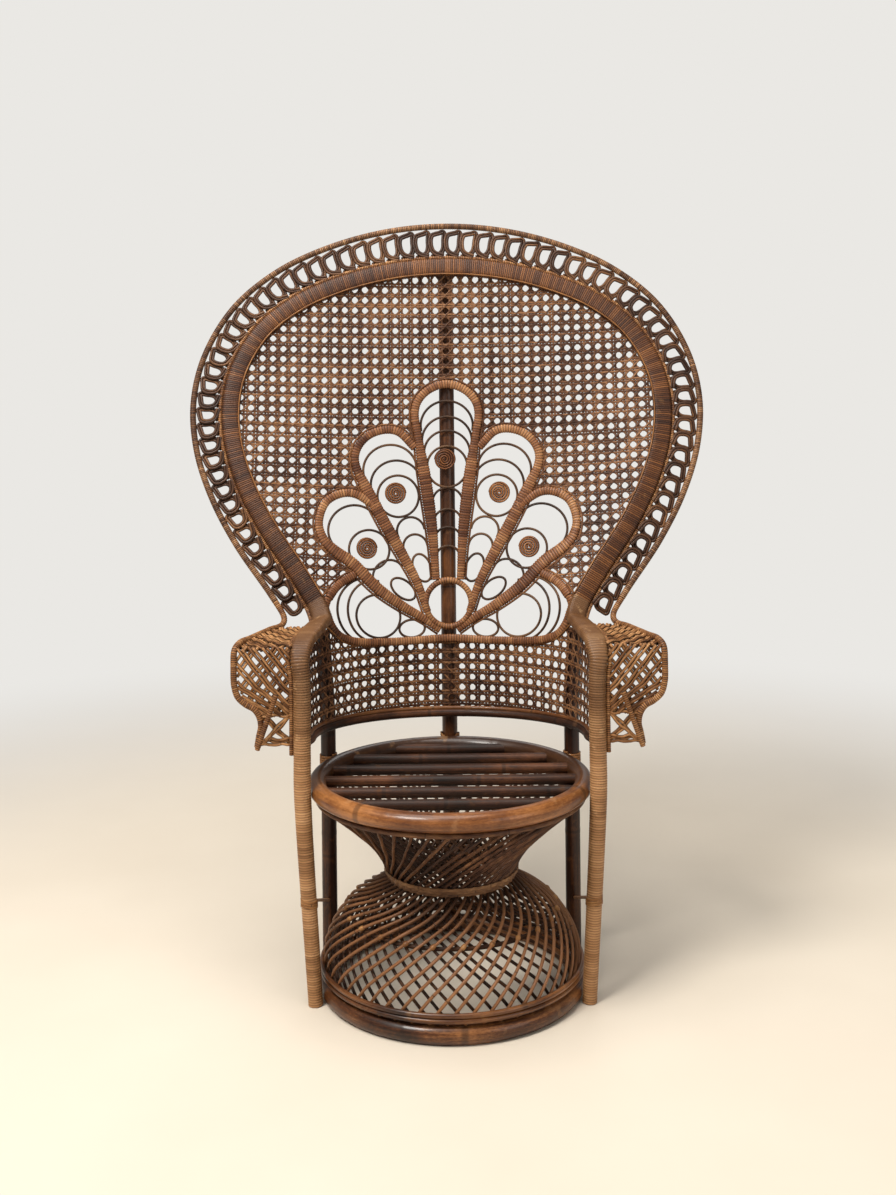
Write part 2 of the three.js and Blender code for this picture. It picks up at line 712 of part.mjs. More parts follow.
// Thin hoops inside each petal: the middle, the two half sizes as shares of the motif's rise as it
// is drawn against its half width, the turn, and whether closed
const centreHoopShares = [
  [0, 0.831, 0.105, 0.1, 0, 0], [0, 0.772, 0.1, 0.096, 0, 0], [0, 0.724, 0.092, 0.088, 0, 0],
  [0, 0.669, 0.081, 0.081, 0, 1], [0, 0.531, 0.06, 0.055, 0, 0], [0, 0.452, 0.055, 0.05, 0, 0],
  [0, 0.386, 0.051, 0.045, 0, 0], [0, 0.316, 0.046, 0.042, 0, 0],
];
const middleHoopShares = [
  [0.45, 0.655, 0.107, 0.1, -14, 0], [0.405, 0.6, 0.1, 0.093, -14, 0], [0.388, 0.552, 0.082, 0.082, 0, 1],
  [0.29, 0.415, 0.055, 0.055, -20, 0], [0.255, 0.353, 0.048, 0.05, -20, 0],
  [0.205, 0.272, 0.035, 0.056, -20, 1],
];
const lowerHoopShares = [
  [0.73, 0.415, 0.1, 0.096, -40, 0], [0.612, 0.338, 0.078, 0.078, 0, 1], [0.465, 0.24, 0.052, 0.053, -45, 0],
  [0.352, 0.188, 0.033, 0.055, -52, 1],
];
const lobeHoopShares = [
  [0.539, 0.079, 0.083, 0.083, 0, 1], [0.577, 0.1, 0.118, 0.095, -90, 0], [0.629, 0.1, 0.125, 0.106, -90, 0],
];
const railHoopShares = [0.285, 0.036, 0.05, 0.034, -8, 1];
const centreRosetteShares = [0, 0.686];
const baseRingShares = [0, 0.134, 0.09];

const motifPlace = ([side, rise]) => point(side * motifHalfWidth, railRise + rise * motifRise, 0);
const motifStep = (x, y) => point(x * motifHalfWidth * motifDrawnShare, y * motifRise, 0);
const motifCurve = (shares) => smoothCurve(shares.map(motifPlace));

function dishStations(curve, steps, size, closed = false) {
  const stepShare = 1e-3;
  const lay = (share) => {
    const { x, y } = curve.getPointAt(closed ? share % 1 : clamp(share, 0, 1));
    return { x, y, at: dishPoint(x, y) };
  };
  return evenShares(steps).slice(0, closed ? -1 : undefined).map((share) => {
    const { x, y, at } = lay(share);
    const before = lay(closed ? share + 1 - stepShare : share - stepShare).at;
    const tangent = lay(share + stepShare).at.sub(before).normalize();
    const over = dishNormal(x, y);
    over.addScaledVector(tangent, -over.dot(tangent)).normalize();
    const [wide, deep] = size(share);
    return { at, across: over.clone().cross(tangent), over, wide, deep };
  });
}

function wrappedPole(curve, steps, width, grow = 0) {
  return skin(dishStations(curve, steps, (share) => [
    width(share) / 2 + grow, petalThickness / 2 + grow,
  ]), poleSectionShares);
}
const centrePetalSteps = 22;
const petalSteps = 15;
const wideningShares = [0.35, 0.5];
const towardsSpoke = (share) => lerp(petalWidth, spokeWidth, smoothstep(share, ...wideningShares));

const hoopSides = 10;
function hoop([side, rise, halfWide, halfHigh, turn, whole]) {
  const centre = motifPlace([side, rise]);
  const angle = degToRad(turn);
  const [from, sweep] = whole ? [0, 360] : [-12, 204];
  const steps = whole ? hoopSides : 6;
  const places = evenShares(steps).slice(0, whole ? -1 : undefined).map((share) => {
    const along = degToRad(from + sweep * share);
    const x = Math.cos(along) * halfWide;
    const y = Math.sin(along) * halfHigh;
    return motifStep(
      x * Math.cos(angle) - y * Math.sin(angle), x * Math.sin(angle) + y * Math.cos(angle)).add(centre);
  });
  const curve = smoothCurve(places, Boolean(whole));
  const half = hoopThickness / 2;
  const stations = dishStations(curve, steps, () => [half, half], Boolean(whole));
  return skin(stations, roundSection(3), Boolean(whole));
}

const bothSides = (curveShares) => {
  const right = curveShares.map(motifPlace);
  return smoothCurve([...right.slice(1).reverse().map((place) => point(-place.x, place.y, 0)), ...right]);
};
const centrePetal = (grow) => wrappedPole(
  bothSides(centrePetalShares), centrePetalSteps, (share) => towardsSpoke(Math.abs(2 * share - 1)), grow);
const middlePetal = (grow) => wrappedPole(motifCurve(middlePetalShares), petalSteps, towardsSpoke, grow);
const lowerPetal = (grow) => wrappedPole(motifCurve(lowerPetalShares), petalSteps, towardsSpoke, grow);
const lobeTop = (grow) => wrappedPole(motifCurve(lobeTopShares), 4, () => petalWidth, grow);
const lobeFoot = (grow) => wrappedPole(motifCurve(lobeFootShares), 6, () => railWidth, grow);
const rail = (grow) => wrappedPole(bothSides(railShares), 10, () => railWidth, grow);

function baseRing(grow = 0) {
  const [side, rise, radius] = baseRingShares;
  const centre = motifPlace([side, rise]);
  const places = evenShares(10).slice(0, -1).map((share) => {
    const angle = 2 * Math.PI * share;
    return motifStep(Math.cos(angle) * radius, Math.sin(angle) * radius).add(centre);
  });
  const half = petalThickness / 2 + grow;
  return skin(dishStations(smoothCurve(places, true), 14, () => [half, half], true), roundSection(6), true);
}

// A coil standing against the inside of a round hoop, or on the centre post
function rosette(centre, lift = 0) {
  const at = dishPoint(centre.x, centre.y, lift);
  return new THREE.CylinderGeometry(rosetteRadius, rosetteRadius, rosetteThickness, 14)
    .rotateX(Math.PI / 2).lookAt(dishNormal(centre.x, centre.y)).translate(at.x, at.y, at.z);
}
function insideHoop([side, rise, halfSize, , turn], angle) {
  const way = degToRad(turn) + angle;
  const placeAt = (share) => motifPlace([side, rise]).add(
    motifStep(share * Math.cos(way), share * Math.sin(way)));
  const surfaceAt = (share) => dishPoint(placeAt(share).x, placeAt(share).y);
  // How long the dish makes the way from the hoop's middle out to the flat of its side
  const sideShare = flatReach(2 * halfSize, hoopSides);
  const middleShare = sideShare / 2;
  const stretch = surfaceAt(sideShare).distanceTo(surfaceAt(middleShare)) / (sideShare - middleShare);
  return placeAt(sideShare - (hoopThickness / 4 + rosetteRadius + 1.4 * fitGap) / stretch);
}

const widerPost = skin(postStations(fitGap), roundPost);
const widerBand = skin(bandStations.map((station) => ({
  ...station, wide: station.wide + fitGap, deep: station.deep + fitGap,
})), bandSectionShares);
const centrePiece = joined(centrePetal(), ...centreHoopShares.map((shares) => hoop(shares)));
addPiece('petal_centre', cutBy(centrePiece, baseRing(fitGap)), wrappedCane);
addPair('petal_middle', cutBy(
  joined(middlePetal(), ...middleHoopShares.map((shares) => hoop(shares))),
  centrePetal(fitGap), baseRing(fitGap)), wrappedCane);
addPair('petal_lower', cutBy(
  joined(lowerPetal(), lobeTop(), ...lowerHoopShares.map((shares) => hoop(shares))),
  middlePetal(fitGap), baseRing(fitGap), rail(fitGap), widerBand, widerPost), wrappedCane);
const railHoops = [...lobeHoopShares, railHoopShares].map((shares) => cutBy(
  hoop(shares), lowerPetal(fitGap), lobeTop(fitGap)));
const railFoot = cutBy(lobeFoot(), widerBand, widerPost);
addPiece('motif_rail', cutBy(
  joined(rail(), ...[railFoot, ...railHoops].flatMap(pairOf)), baseRing(fitGap)), wrappedCane);
addPiece('motif_base_ring', baseRing(), wrappedCane);
const rosetteOnPost = (rosetteThickness - petalThickness) / 2 - fitGap;
addPiece('rosette_centre', rosette(motifPlace(centreRosetteShares), rosetteOnPost), brownReed);
addPair('rosette_middle', rosette(insideHoop(middleHoopShares[2], Math.PI / hoopSides)), brownReed);
addPair('rosette_lower', rosette(insideHoop(lowerHoopShares[1], -Math.PI / hoopSides)), brownReed);

// Caning of the fan, open where the motif stands

const paneShares = [0.36, 0.42];
const lobeWindowShares = [...lobeTopShares, ...lobeFootShares, ...railShares.toReversed().slice(1)];
function caningSurface(share, inward) {
  const edge = caneEdge.getPointAt(share);
  const tangent = caneEdge.getTangentAt(share);
  const outer = point(edge.x + tangent.y * caneClearance, edge.y - tangent.x * caneClearance, 0);
  const angle = Math.PI * share;
  const [wide, high] = paneShares;
  const inner = motifPlace([-Math.cos(angle) * wide, Math.sin(angle) * high]);
  const { x, y } = outer.lerp(inner, inward);
  return dishPoint(x, y);
}

// The opening that a petal's pole goes round
function petalWindow(curve, steps) {
  const outline = new THREE.Shape(evenShares(steps).map((share) => {
    const { x, y } = curve.getPointAt(share);
    return new THREE.Vector2(x, y);
  }));
  const depth = 2 * bendBack;
  const depthBehindShare = 0.75;
  const geometry = new THREE.ExtrudeGeometry(outline, { depth, bevelEnabled: false, steps: 1 });
  const { position } = geometry.attributes;
  for (const index of range(position.count)) {
    const forward = position.getZ(index) - depth * depthBehindShare;
    const place = fanPoint(position.getX(index), position.getY(index), forward);
    position.setXYZ(index, place.x, place.y, place.z);
  }
  return geometry;
}
addPiece('fan_caning', cutBy(
  plate(caningSurface, evenShares(28), evenShares(3), panelThickness),
  petalWindow(bothSides(centrePetalShares), centrePetalSteps), centrePetal(fitGap),
  ...pairOf(petalWindow(motifCurve(middlePetalShares), petalSteps)), ...pairOf(middlePetal(fitGap)),
  ...pairOf(petalWindow(motifCurve(lowerPetalShares), petalSteps)), ...pairOf(lowerPetal(fitGap)),
  ...pairOf(petalWindow(motifCurve(lobeWindowShares), petalSteps)), ...pairOf(lobeTop(fitGap)),
  ...pairOf(lobeFoot(fitGap)), rail(fitGap), widerBand, ...pairOf(widerPost)), wovenCane);

// Low back wall: caning between the front posts, over a rim and a thin rod

const wallOuter = postRadius - frontPostThickness / 2 - fitGap;
const wallRadius = wallOuter - wallThickness / 2;
const wallEndAngle = -Math.asin(frontPostDepth / postRadius) * THREE.MathUtils.RAD2DEG;
const wallSweep = 180 - 2 * wallEndAngle;
const wallAngle = (share) => wallEndAngle + wallSweep * share;
function wallForward(share) {
  const sine = Math.sin(degToRad(wallAngle(share)));
  return (1 - sine) / (1 - Math.sin(degToRad(wallEndAngle)));
}
const rimHeightAt = (share) => lerp(wallBackHeight, wallFrontHeight, wallForward(share));
const rimSides = 6;
const rodSides = 4;
const rodLift = flatReach(wallRimThickness, rimSides) + flatReach(wallRodThickness, rodSides) + fitGap;
const railBack = dishPoint(0, railRise);
const wallTopBack = railBack.z - petalThickness / 2 - 4 * fitGap;
const armUnderside = armCornerHeight - bandThickness / 2 - 2 * fitGap;
const wallTopAt = (share) => Math.min(
  lerp(wallTopBack, armUnderside, wallForward(share)), armUnderside - bandThickness / 2);

// The wall leans out a little where the rear posts stand
function wallLean(share, height) {
  const beside = Math.min(
    Math.abs(wallAngle(share) - rearPostAngle), Math.abs(180 - wallAngle(share) - rearPostAngle));
  const near = 1 - smoothstep(beside, 0, rearPostAngle);
  return wallFlare * near * smoothstep(height, wallFrontHeight, armCornerHeight);
}
function wallSurface(share, up) {
  const bottom = rimHeightAt(share) + flatReach(wallRimThickness, rimSides) + fitGap;
  const height = lerp(bottom, wallTopAt(share), up);
  return polar(wallRadius + wallLean(share, height), wallAngle(share), height);
}
addPiece('wall_caning', cutBy(
  plate(wallSurface, evenShares(28), evenShares(2), wallThickness),
  rail(fitGap), ...pairOf(lobeFoot(fitGap)), ...pairOf(widerPost)), wovenCane);

const rimLineRadius = wallOuter - wallRimThickness / 2;
function wallLine(radius, lift) {
  return evenShares(12).map((share) => polar(radius, wallAngle(share), rimHeightAt(share) + lift));
}
const rodLineRadius = wallRadius - wallThickness / 2 - flatReach(wallRodThickness, rodSides) - fitGap;
addPiece('wall_rim', tube(wallLine(rimLineRadius, 0), wallRimThickness, 28, rimSides), darkRattan);
addPiece('wall_rod', tube(wallLine(rodLineRadius, rodLift), wallRodThickness, 28, rodSides), glossyRattan);

// Rear posts

const rearPostRadius = wallOuter + rearPostThickness / 2 + fitGap;
const rearPostShare = (rearPostAngle - wallEndAngle) / wallSweep;
function rearPost() {
  const midHeight = (wallFrontHeight + armCornerHeight) / 2;
  const heights = [0, seatRingHeight, wallBackHeight, wallFrontHeight, midHeight, armCornerHeight];
  const places = heights.map((height) => polar(
    rearPostRadius + wallLean(rearPostShare, height), rearPostAngle, height));
  const half = rearPostThickness / 2;
  const stations = stationsAlong(smoothCurve(places), 7, () => [half, half]);
  stations[0].across = point(1, 0, 0);
  stations[0].over = point(0, 1, 0);
  return cutBy(skin(stations, roundPost), widerPost, lobeFoot(fitGap));
}
addPair('rear_post', rearPost(), glossyRattan);

const bendReachShare = 1.5;
function centrePost() {
  const top = fanPoint(0, bandTopRise + bandWidth / 4, -centrePostBack);
  const lean = top.clone().sub(postBend).normalize();
  const bendReach = bendReachShare * centrePostThickness;
  const places = [
    point(0, centrePostDepth, 0),
    point(0, centrePostDepth, seatRingHeight),
    point(0, centrePostDepth, centrePostBendHeight - bendReach),
    postBend.clone().addScaledVector(lean, bendReach),
    top,
  ];
  const half = centrePostThickness / 2;
  const stations = stationsAlong(smoothCurve(places), 10, () => [half, half]);
  stations[0].across = point(1, 0, 0);
  stations[0].over = point(0, 1, 0);
  return skin(stations, roundPost);
}
addPiece('rear_post_centre', centrePost(), glossyRattan);

// Bindings round the rear posts at the seat ring

function postBinding(post, thickness) {
  const inner = thickness / 2 + fitGap;
  const outer = inner + postBindingWall;
  const collar = turned([
    [inner, -postBindingHeight / 2], [outer, -postBindingHeight / 2],
    [outer, postBindingHeight / 2], [inner, postBindingHeight / 2],
  ], postSides).rotateZ(Math.PI / postSides).translate(post.x, post.y, seatRingHeight);
  return cutBy(collar, seatRing(fitGap));
}
addPair('seat_binding', postBinding(polar(rearPostRadius, rearPostAngle, 0), rearPostThickness), wrappedCane);
addPiece('seat_binding_centre', postBinding(point(0, centrePostDepth, 0), centrePostThickness), wrappedCane);

// Ties from the front legs to the rear legs

function legTie() {
  const rise = legTieFrontHeight / seatRingHeight;
  const front = point(lerp(besideFront(footRadius), postSide, rise), -frontPostDepth, legTieFrontHeight);
  const rear = polar(rearPostRadius, rearPostAngle, legTieRearHeight);
  const along = rear.clone().sub(front).normalize();
  front.addScaledVector(along, frontPostThickness / 2 + 2 * fitGap);
  rear.addScaledVector(along, -rearPostThickness / 2 - 4 * fitGap);
  return tube([front, rear], legTieThickness, 1, 5);
}
addPair('leg_tie', legTie(), wrappedCane);

// Arms: a rim pole bent out and down from the fan, and open lattice between it and the arm top

const trimSide = postSide + frontPostThickness / 2 + trimThickness + 4 * fitGap;

// The rim's way, as shares of the arm's width outside the trim, of the way back from the front
// face to the neck, and of the height from the tail up to the corner
const armRimShares = [
  [0.251, 1, 0.985], [0.521, 0.835, 0.99], [0.658, 0.587, 1], [0.799, 0.298, 1.01], [0.924, 0.1, 1.01],
  [0.985, 0.02, 0.96], [0.997, 0, 0.79], [0.985, 0, 0.62], [0.916, 0, 0.515], [0.771, 0, 0.447],
  [0.626, 0, 0.405], [0.533, 0, 0.34], [0.493, 0, 0.24], [0.533, 0, 0.137], [0.573, 0, 0.02],
];
const armFrontDepth = -frontPostDepth - armRimThickness / 4;
const armPlace = ([out, back, up]) => point(
  trimSide + out * armWidth,
  lerp(armFrontDepth, fanNeckDepth, back),
  lerp(armTailHeight, armCornerHeight, up));
const armRimLine = smoothCurve(armRimShares.map(armPlace));
const armRim = (grow = 0) => tube(armRimLine.points, armRimThickness + 2 * grow, 26, 5);
addPair('arm_rim', armRim(), wrappedCane);

const armLatticeBarShare = 0.24;
const rimClearance = armRimThickness / 2 + 2 * fitGap;

// The arm's skin: over its top from the arm top's trim to the rim, whose top lies between these
// shares of its way
const armRimTopShares = [0.355, 0.03];
function armTopSurface(back, out) {
  const depth = lerp(armFrontDepth + armRimThickness, fanNeckDepth - 2 * armRimThickness, back);
  const rim = armRimLine.getPoint(lerp(...armRimTopShares, back));
  const side = lerp(trimSide - (bandWidth / 2) * back, rim.x - rimClearance, out);
  return point(side, depth, lerp(armCornerHeight, rim.z, out));
}
addPair('arm_top_lattice', cutBy(plate(
  armTopSurface, barredShares(5, armLatticeBarShare), barredShares(2, armLatticeBarShare), armSkinThickness,
  (i, j) => !openCell(i, j)), armRim(fitGap), ...pairOf(trimRod(2 * fitGap))), wovenCane);

// The front face between the post's trim and the rim, down to the tail
const frontFaceShares = [
  [0.815, 1], [0.896, 0.8], [0.876, 0.6], [0.714, 0.46], [0.452, 0.34], [0.4, 0.2], [0.432, 0.06],
];
function armFrontSurface(out, up) {
  const line = frontFaceShares.toReversed();
  const reach = up * (line.length - 1);
  const index = Math.min(Math.floor(reach), line.length - 2);
  const outerShare = lerp(line[index][0], line[index + 1][0], reach - index);
  const heightShare = lerp(line[index][1], line[index + 1][1], reach - index);
  return point(
    trimSide + outerShare * armWidth * out, armFrontDepth,
    lerp(armTailHeight, armCornerHeight, heightShare));
}
addPair('arm_front_lattice', cutBy(plate(
  armFrontSurface, barredShares(2, armLatticeBarShare), barredShares(5, armLatticeBarShare), armSkinThickness,
  (i, j) => !openCell(i, j)), armRim(fitGap)), wovenCane);

// The strut in front of the face, from its middle down to the tail
const strutShares = [[0.19, 0.55], [0.553, 0.03]];
const strutDepth = armFrontDepth - (armRimThickness + armStrutThickness) / 2 - fitGap;
const strutEnds = strutShares.map(([out, up]) => point(
  trimSide + out * armWidth, strutDepth, lerp(armTailHeight, armCornerHeight, up)));
addPair('arm_strut', tube(strutEnds, armStrutThickness, 1, 6), wrappedCane);

// Set over the middle of its footprint
const whole = new THREE.Box3().setFromObject(chair, true);
const middle = whole.getCenter(new THREE.Vector3());
chair.position.set(-middle.x, -middle.y, -whole.min.z);

export default chair;
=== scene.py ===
import math
import bmesh
import bpy
import numpy as np
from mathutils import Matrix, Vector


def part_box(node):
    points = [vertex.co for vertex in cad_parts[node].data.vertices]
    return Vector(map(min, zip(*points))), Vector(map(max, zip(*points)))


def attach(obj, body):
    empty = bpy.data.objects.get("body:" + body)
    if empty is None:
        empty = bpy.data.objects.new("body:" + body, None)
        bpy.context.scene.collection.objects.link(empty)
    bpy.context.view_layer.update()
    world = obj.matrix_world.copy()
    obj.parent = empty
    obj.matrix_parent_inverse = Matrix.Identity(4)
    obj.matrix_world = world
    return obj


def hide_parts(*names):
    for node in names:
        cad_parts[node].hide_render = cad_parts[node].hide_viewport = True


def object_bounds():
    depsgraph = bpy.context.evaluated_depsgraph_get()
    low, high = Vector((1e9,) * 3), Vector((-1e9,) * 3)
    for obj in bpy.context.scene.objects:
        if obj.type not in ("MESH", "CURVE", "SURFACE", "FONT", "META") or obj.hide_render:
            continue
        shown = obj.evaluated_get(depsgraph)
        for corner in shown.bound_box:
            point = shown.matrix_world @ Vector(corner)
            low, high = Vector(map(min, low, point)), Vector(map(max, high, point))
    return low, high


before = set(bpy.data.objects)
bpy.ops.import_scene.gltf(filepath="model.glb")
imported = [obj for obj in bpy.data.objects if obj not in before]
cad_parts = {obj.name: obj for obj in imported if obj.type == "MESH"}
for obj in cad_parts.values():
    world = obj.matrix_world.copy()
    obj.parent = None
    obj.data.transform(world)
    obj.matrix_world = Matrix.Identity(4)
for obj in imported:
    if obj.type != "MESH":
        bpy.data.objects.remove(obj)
cadBox = [[float(value) for value in corner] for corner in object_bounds()]

# Everything is laid out in millimetres about the middle of the seat, then set in the frame
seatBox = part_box("seat_ring")
seatMiddle = np.array([0, (seatBox[0][1] + seatBox[1][1]) / 2, 0])
chance = np.random.default_rng(7)
print("frame loaded")


# Lines and directions

upward, frontward = (0, 0, 1), (0, -1, 0)
curveRows = 24  # rows to each span of a curve


def unit(vectors):
    return vectors / np.maximum(np.linalg.norm(vectors, axis=-1, keepdims=True), 1e-9)


def blend(start, end, share):
    return start + (end - start) * share


def ease(value, low, high):
    share = np.clip((value - low) / (high - low), 0, 1)
    return share * share * (3 - 2 * share)


def curveThrough(points, closed=False, fine=curveRows):
    places = np.asarray(points, float)
    if closed:
        padded = np.vstack([places[-1:], places, places[:2]])
    else:
        padded = np.vstack([2 * places[0] - places[1], places, 2 * places[-1] - places[-2]])
    before, start, end, after = padded[:-3], padded[1:-2], padded[2:-1], padded[3:]

    def span(a, b):
        return np.maximum(((b - a) ** 2).sum(1, keepdims=True), 1e-9) ** 0.25
    first, middle, last = span(before, start), span(start, end), span(end, after)
    leave = ((start - before) / first - (end - before) / (first + middle) + (end - start) / middle) * middle
    arrive = ((end - start) / middle - (after - start) / (middle + last) + (after - end) / last) * middle
    t = (np.arange(fine) / fine)[None, :, None]
    start, end, leave, arrive = (part[:, None] for part in (start, end, leave, arrive))
    line = ((2 * t ** 3 - 3 * t ** 2 + 1) * start + (t ** 3 - 2 * t ** 2 + t) * leave
            + (3 * t ** 2 - 2 * t ** 3) * end + (t ** 3 - t ** 2) * arrive)
    return np.vstack([line.reshape(-1, places.shape[1]), padded[-2:-1]])


def lengthsOf(line):
    return np.r_[0, np.cumsum(np.linalg.norm(np.diff(line, axis=0), axis=1))]


def evenSteps(line, step=None, count=None, width=3):
    lengths = lengthsOf(line[:, :width])  # further columns ride along
    count = count or max(3, int(round(lengths[-1] / step)) + 1)
    at = np.linspace(0, lengths[-1], count)
    return np.stack([np.interp(at, lengths, line[:, k]) for k in range(line.shape[1])], 1)


def polar(radius, degrees, height):
    angle = np.radians(degrees)
    return np.stack(np.broadcast_arrays(radius * np.cos(angle), radius * np.sin(angle), height), -1)


def circle(radius, height, step):
    count = int(2 * math.pi * radius / step)
    return polar(radius, np.linspace(90, 450, count + 1), height)  # the join is at the back


def outFromAxis(line):
    return unit(line * np.array([1, 1, 0]))


def insideOutline(places, outline):
    inside = np.zeros(len(places), bool)
    x, y = places[:, 0], places[:, 1]
    for (ax, ay), (bx, by) in zip(outline, np.roll(outline, -1, 0)):
        if ay == by:
            continue
        crosses = ((ay > y) != (by > y)) & (x < (bx - ax) * (y - ay) / (by - ay) + ax)
        inside ^= crosses
    return inside


# Poles, reeds and strands: one long grid, bent round all the lines of a piece

def strand(line, wide, deep=None, facing=frontward, edge=1.0, tone=None, closed=False):
    line = np.asarray(line, float)
    return {
        "line": line, "wide": wide, "deep": wide if deep is None else deep, "facing": facing,
        "edge": edge, "tone": chance.random() if tone is None else tone, "closed": closed,
    }


def mirrorStrand(made):
    flip = np.array([-1, 1, 1])
    return {**made, "line": made["line"] * flip, "facing": np.asarray(made["facing"], float) * flip,
            "tone": chance.random()}


def bothSides(strands):
    return strands + [mirrorStrand(made) for made in strands]


# A pole wound with cane: three rows to each turn, the first in the groove between turns
def wound(line, wide, deep, facing, pitch, edge=1.0, groove=0.09, closed=False):
    columns = [line, np.broadcast_to(np.asarray(facing, float), line.shape)]
    for size in (wide, deep, edge):
        columns.append(np.broadcast_to(np.asarray(size, float).reshape(-1, 1), (len(line), 1)))
    every = np.hstack(columns)
    turns = max(2, int(round(lengthsOf(line)[-1] / pitch)))
    rows = evenSteps(every, count=3 * turns + 1)
    ridge = np.where(np.arange(len(rows)) % 3 == 0, 1 - groove, 1.0)
    made = strand(rows[:, :3], rows[:, 6] * ridge, rows[:, 7] * ridge, rows[:, 3:6], rows[:, 8],
                  closed=closed)
    made["along"] = np.arange(len(rows)) * pitch / 3
    return made


def woundRod(line, thickness, facing, pitch, groove=0.08, closed=False):
    return wound(line, thickness / 2, thickness / 2, facing, pitch, 1.0, groove, closed)


def bendRows(made, columns):
    line = made["line"]
    count = len(line)
    if made["closed"]:
        tangent = unit(np.roll(line[:-1], -1, 0) - np.roll(line[:-1], 1, 0))
        tangent = np.vstack([tangent, tangent[:1]])
    else:
        tangent = unit(np.gradient(line, axis=0))
    facing = np.broadcast_to(np.asarray(made["facing"], float), line.shape)
    over = unit(facing - tangent * (facing * tangent).sum(1, keepdims=True))
    across = np.cross(over, tangent)
    angle = np.linspace(0, 2 * math.pi, columns)
    edge = np.broadcast_to(made["edge"], (count,))[:, None]
    cosine, sine = np.cos(angle)[None], np.sin(angle)[None]
    cosine[np.abs(cosine) < 1e-9], sine[np.abs(sine) < 1e-9] = 0, 0
    sideways = np.sign(cosine) * np.abs(cosine) ** edge * np.broadcast_to(made["wide"], (count,))[:, None]
    outward = np.sign(sine) * np.abs(sine) ** edge * np.broadcast_to(made["deep"], (count,))[:, None]
    rows = line[:, None] + across[:, None] * sideways[..., None] + over[:, None] * outward[..., None]
    rows[:, -1] = rows[:, 0]
    if made["closed"]:
        rows[-1] = rows[0]
    along = made.get("along", lengthsOf(line))
    lay = np.stack(np.broadcast_arrays(np.linspace(0, 1, columns)[None], along[:, None] * 0.001), -1)
    return rows, lay


def nodePair(name):
    return [name + "_right", name + "_left"]


def polePiece(name, strands, finish, replaced=(), sides=10):
    columns = sides + 1
    bent = [bendRows(made, columns) for made in strands]
    counts = [len(made["line"]) for made in strands]
    rows = np.vstack([places for places, _ in bent]) * 0.001 + seatMiddle
    rows[..., 2] = np.maximum(rows[..., 2], 0)  # what stands on the floor is flat there
    lay = np.vstack([share for _, share in bent]).reshape(-1, 2)
    tones = np.repeat([made["tone"] for made in strands], np.array(counts) * columns)

    grid = bmesh.new()
    bmesh.ops.create_grid(grid, x_segments=sides, y_segments=sum(counts) - 1, size=1)
    mesh = bpy.data.meshes.new(name)
    grid.to_mesh(mesh)
    grid.free()
    mesh.vertices.foreach_set("co", rows.astype(np.float32).ravel())
    corners = np.empty(len(mesh.loops), np.int32)
    mesh.loops.foreach_get("vertex_index", corners)
    mesh.uv_layers.new(name="lay").data.foreach_set("uv", lay[corners].astype(np.float32).ravel())
    tone = mesh.attributes.new("tone", "FLOAT", "POINT")
    tone.data.foreach_set("value", tones.astype(np.float32))

    poles = bmesh.new()
    poles.from_mesh(mesh)
    poles.faces.ensure_lookup_table()
    lastRows = np.cumsum(counts)[:-1] - 1
    links = [poles.faces[row * sides + column] for row in lastRows for column in range(sides)]
    bmesh.ops.delete(poles, geom=links, context="FACES_ONLY")
    bmesh.ops.delete(poles, geom=[edge for edge in poles.edges if edge.is_wire], context="EDGES")
    seams = [vert for vert in poles.verts if vert.is_boundary]
    bmesh.ops.remove_doubles(poles, verts=seams, dist=2e-6)
    bmesh.ops.holes_fill(poles, edges=[edge for edge in poles.edges if edge.is_boundary], sides=0)
    bmesh.ops.recalc_face_normals(poles, faces=poles.faces)
    poles.to_mesh(mesh)
    poles.free()
    mesh.shade_smooth()
    piece = bpy.data.objects.new(name, mesh)
    bpy.context.scene.collection.objects.link(piece)
    mesh.materials.append(finish)
    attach(piece, "root")
    if replaced:
        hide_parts(*replaced)
    return piece


# Shader maths: a signal is a socket that can be added, multiplied and so on

class Signal:
    def __init__(self, recipe, socket):
        self.recipe = recipe
        self.socket = socket

    def maths(self, operation, *values):
        inputs = dict(enumerate(values))
        return self.recipe.signal("ShaderNodeMath", {"operation": operation}, inputs)

    def __add__(self, other):
        return self.maths("ADD", self, other)

    def __radd__(self, other):
        return self.maths("ADD", other, self)

    def __sub__(self, other):
        return self.maths("SUBTRACT", self, other)

    def __rsub__(self, other):
        return self.maths("SUBTRACT", other, self)

    def __mul__(self, other):
        return self.maths("MULTIPLY", self, other)

    def __pow__(self, other):
        return self.maths("POWER", self, other)

    def __abs__(self):
        return self.maths("ABSOLUTE", self)

    def floor(self):
        return self.maths("FLOOR", self)

    def fromMiddle(self):  # 0.5 at whole numbers, 0 halfway between them
        return abs(self - self.floor() - 0.5)

    def swing(self, share):
        return (self - 0.5) * share

    def over(self, low, high):
        settings = {"interpolation_type": "SMOOTHSTEP"}
        inputs = {"Value": self, "From Min": low, "From Max": high}
        return self.recipe.signal("ShaderNodeMapRange", settings, inputs)


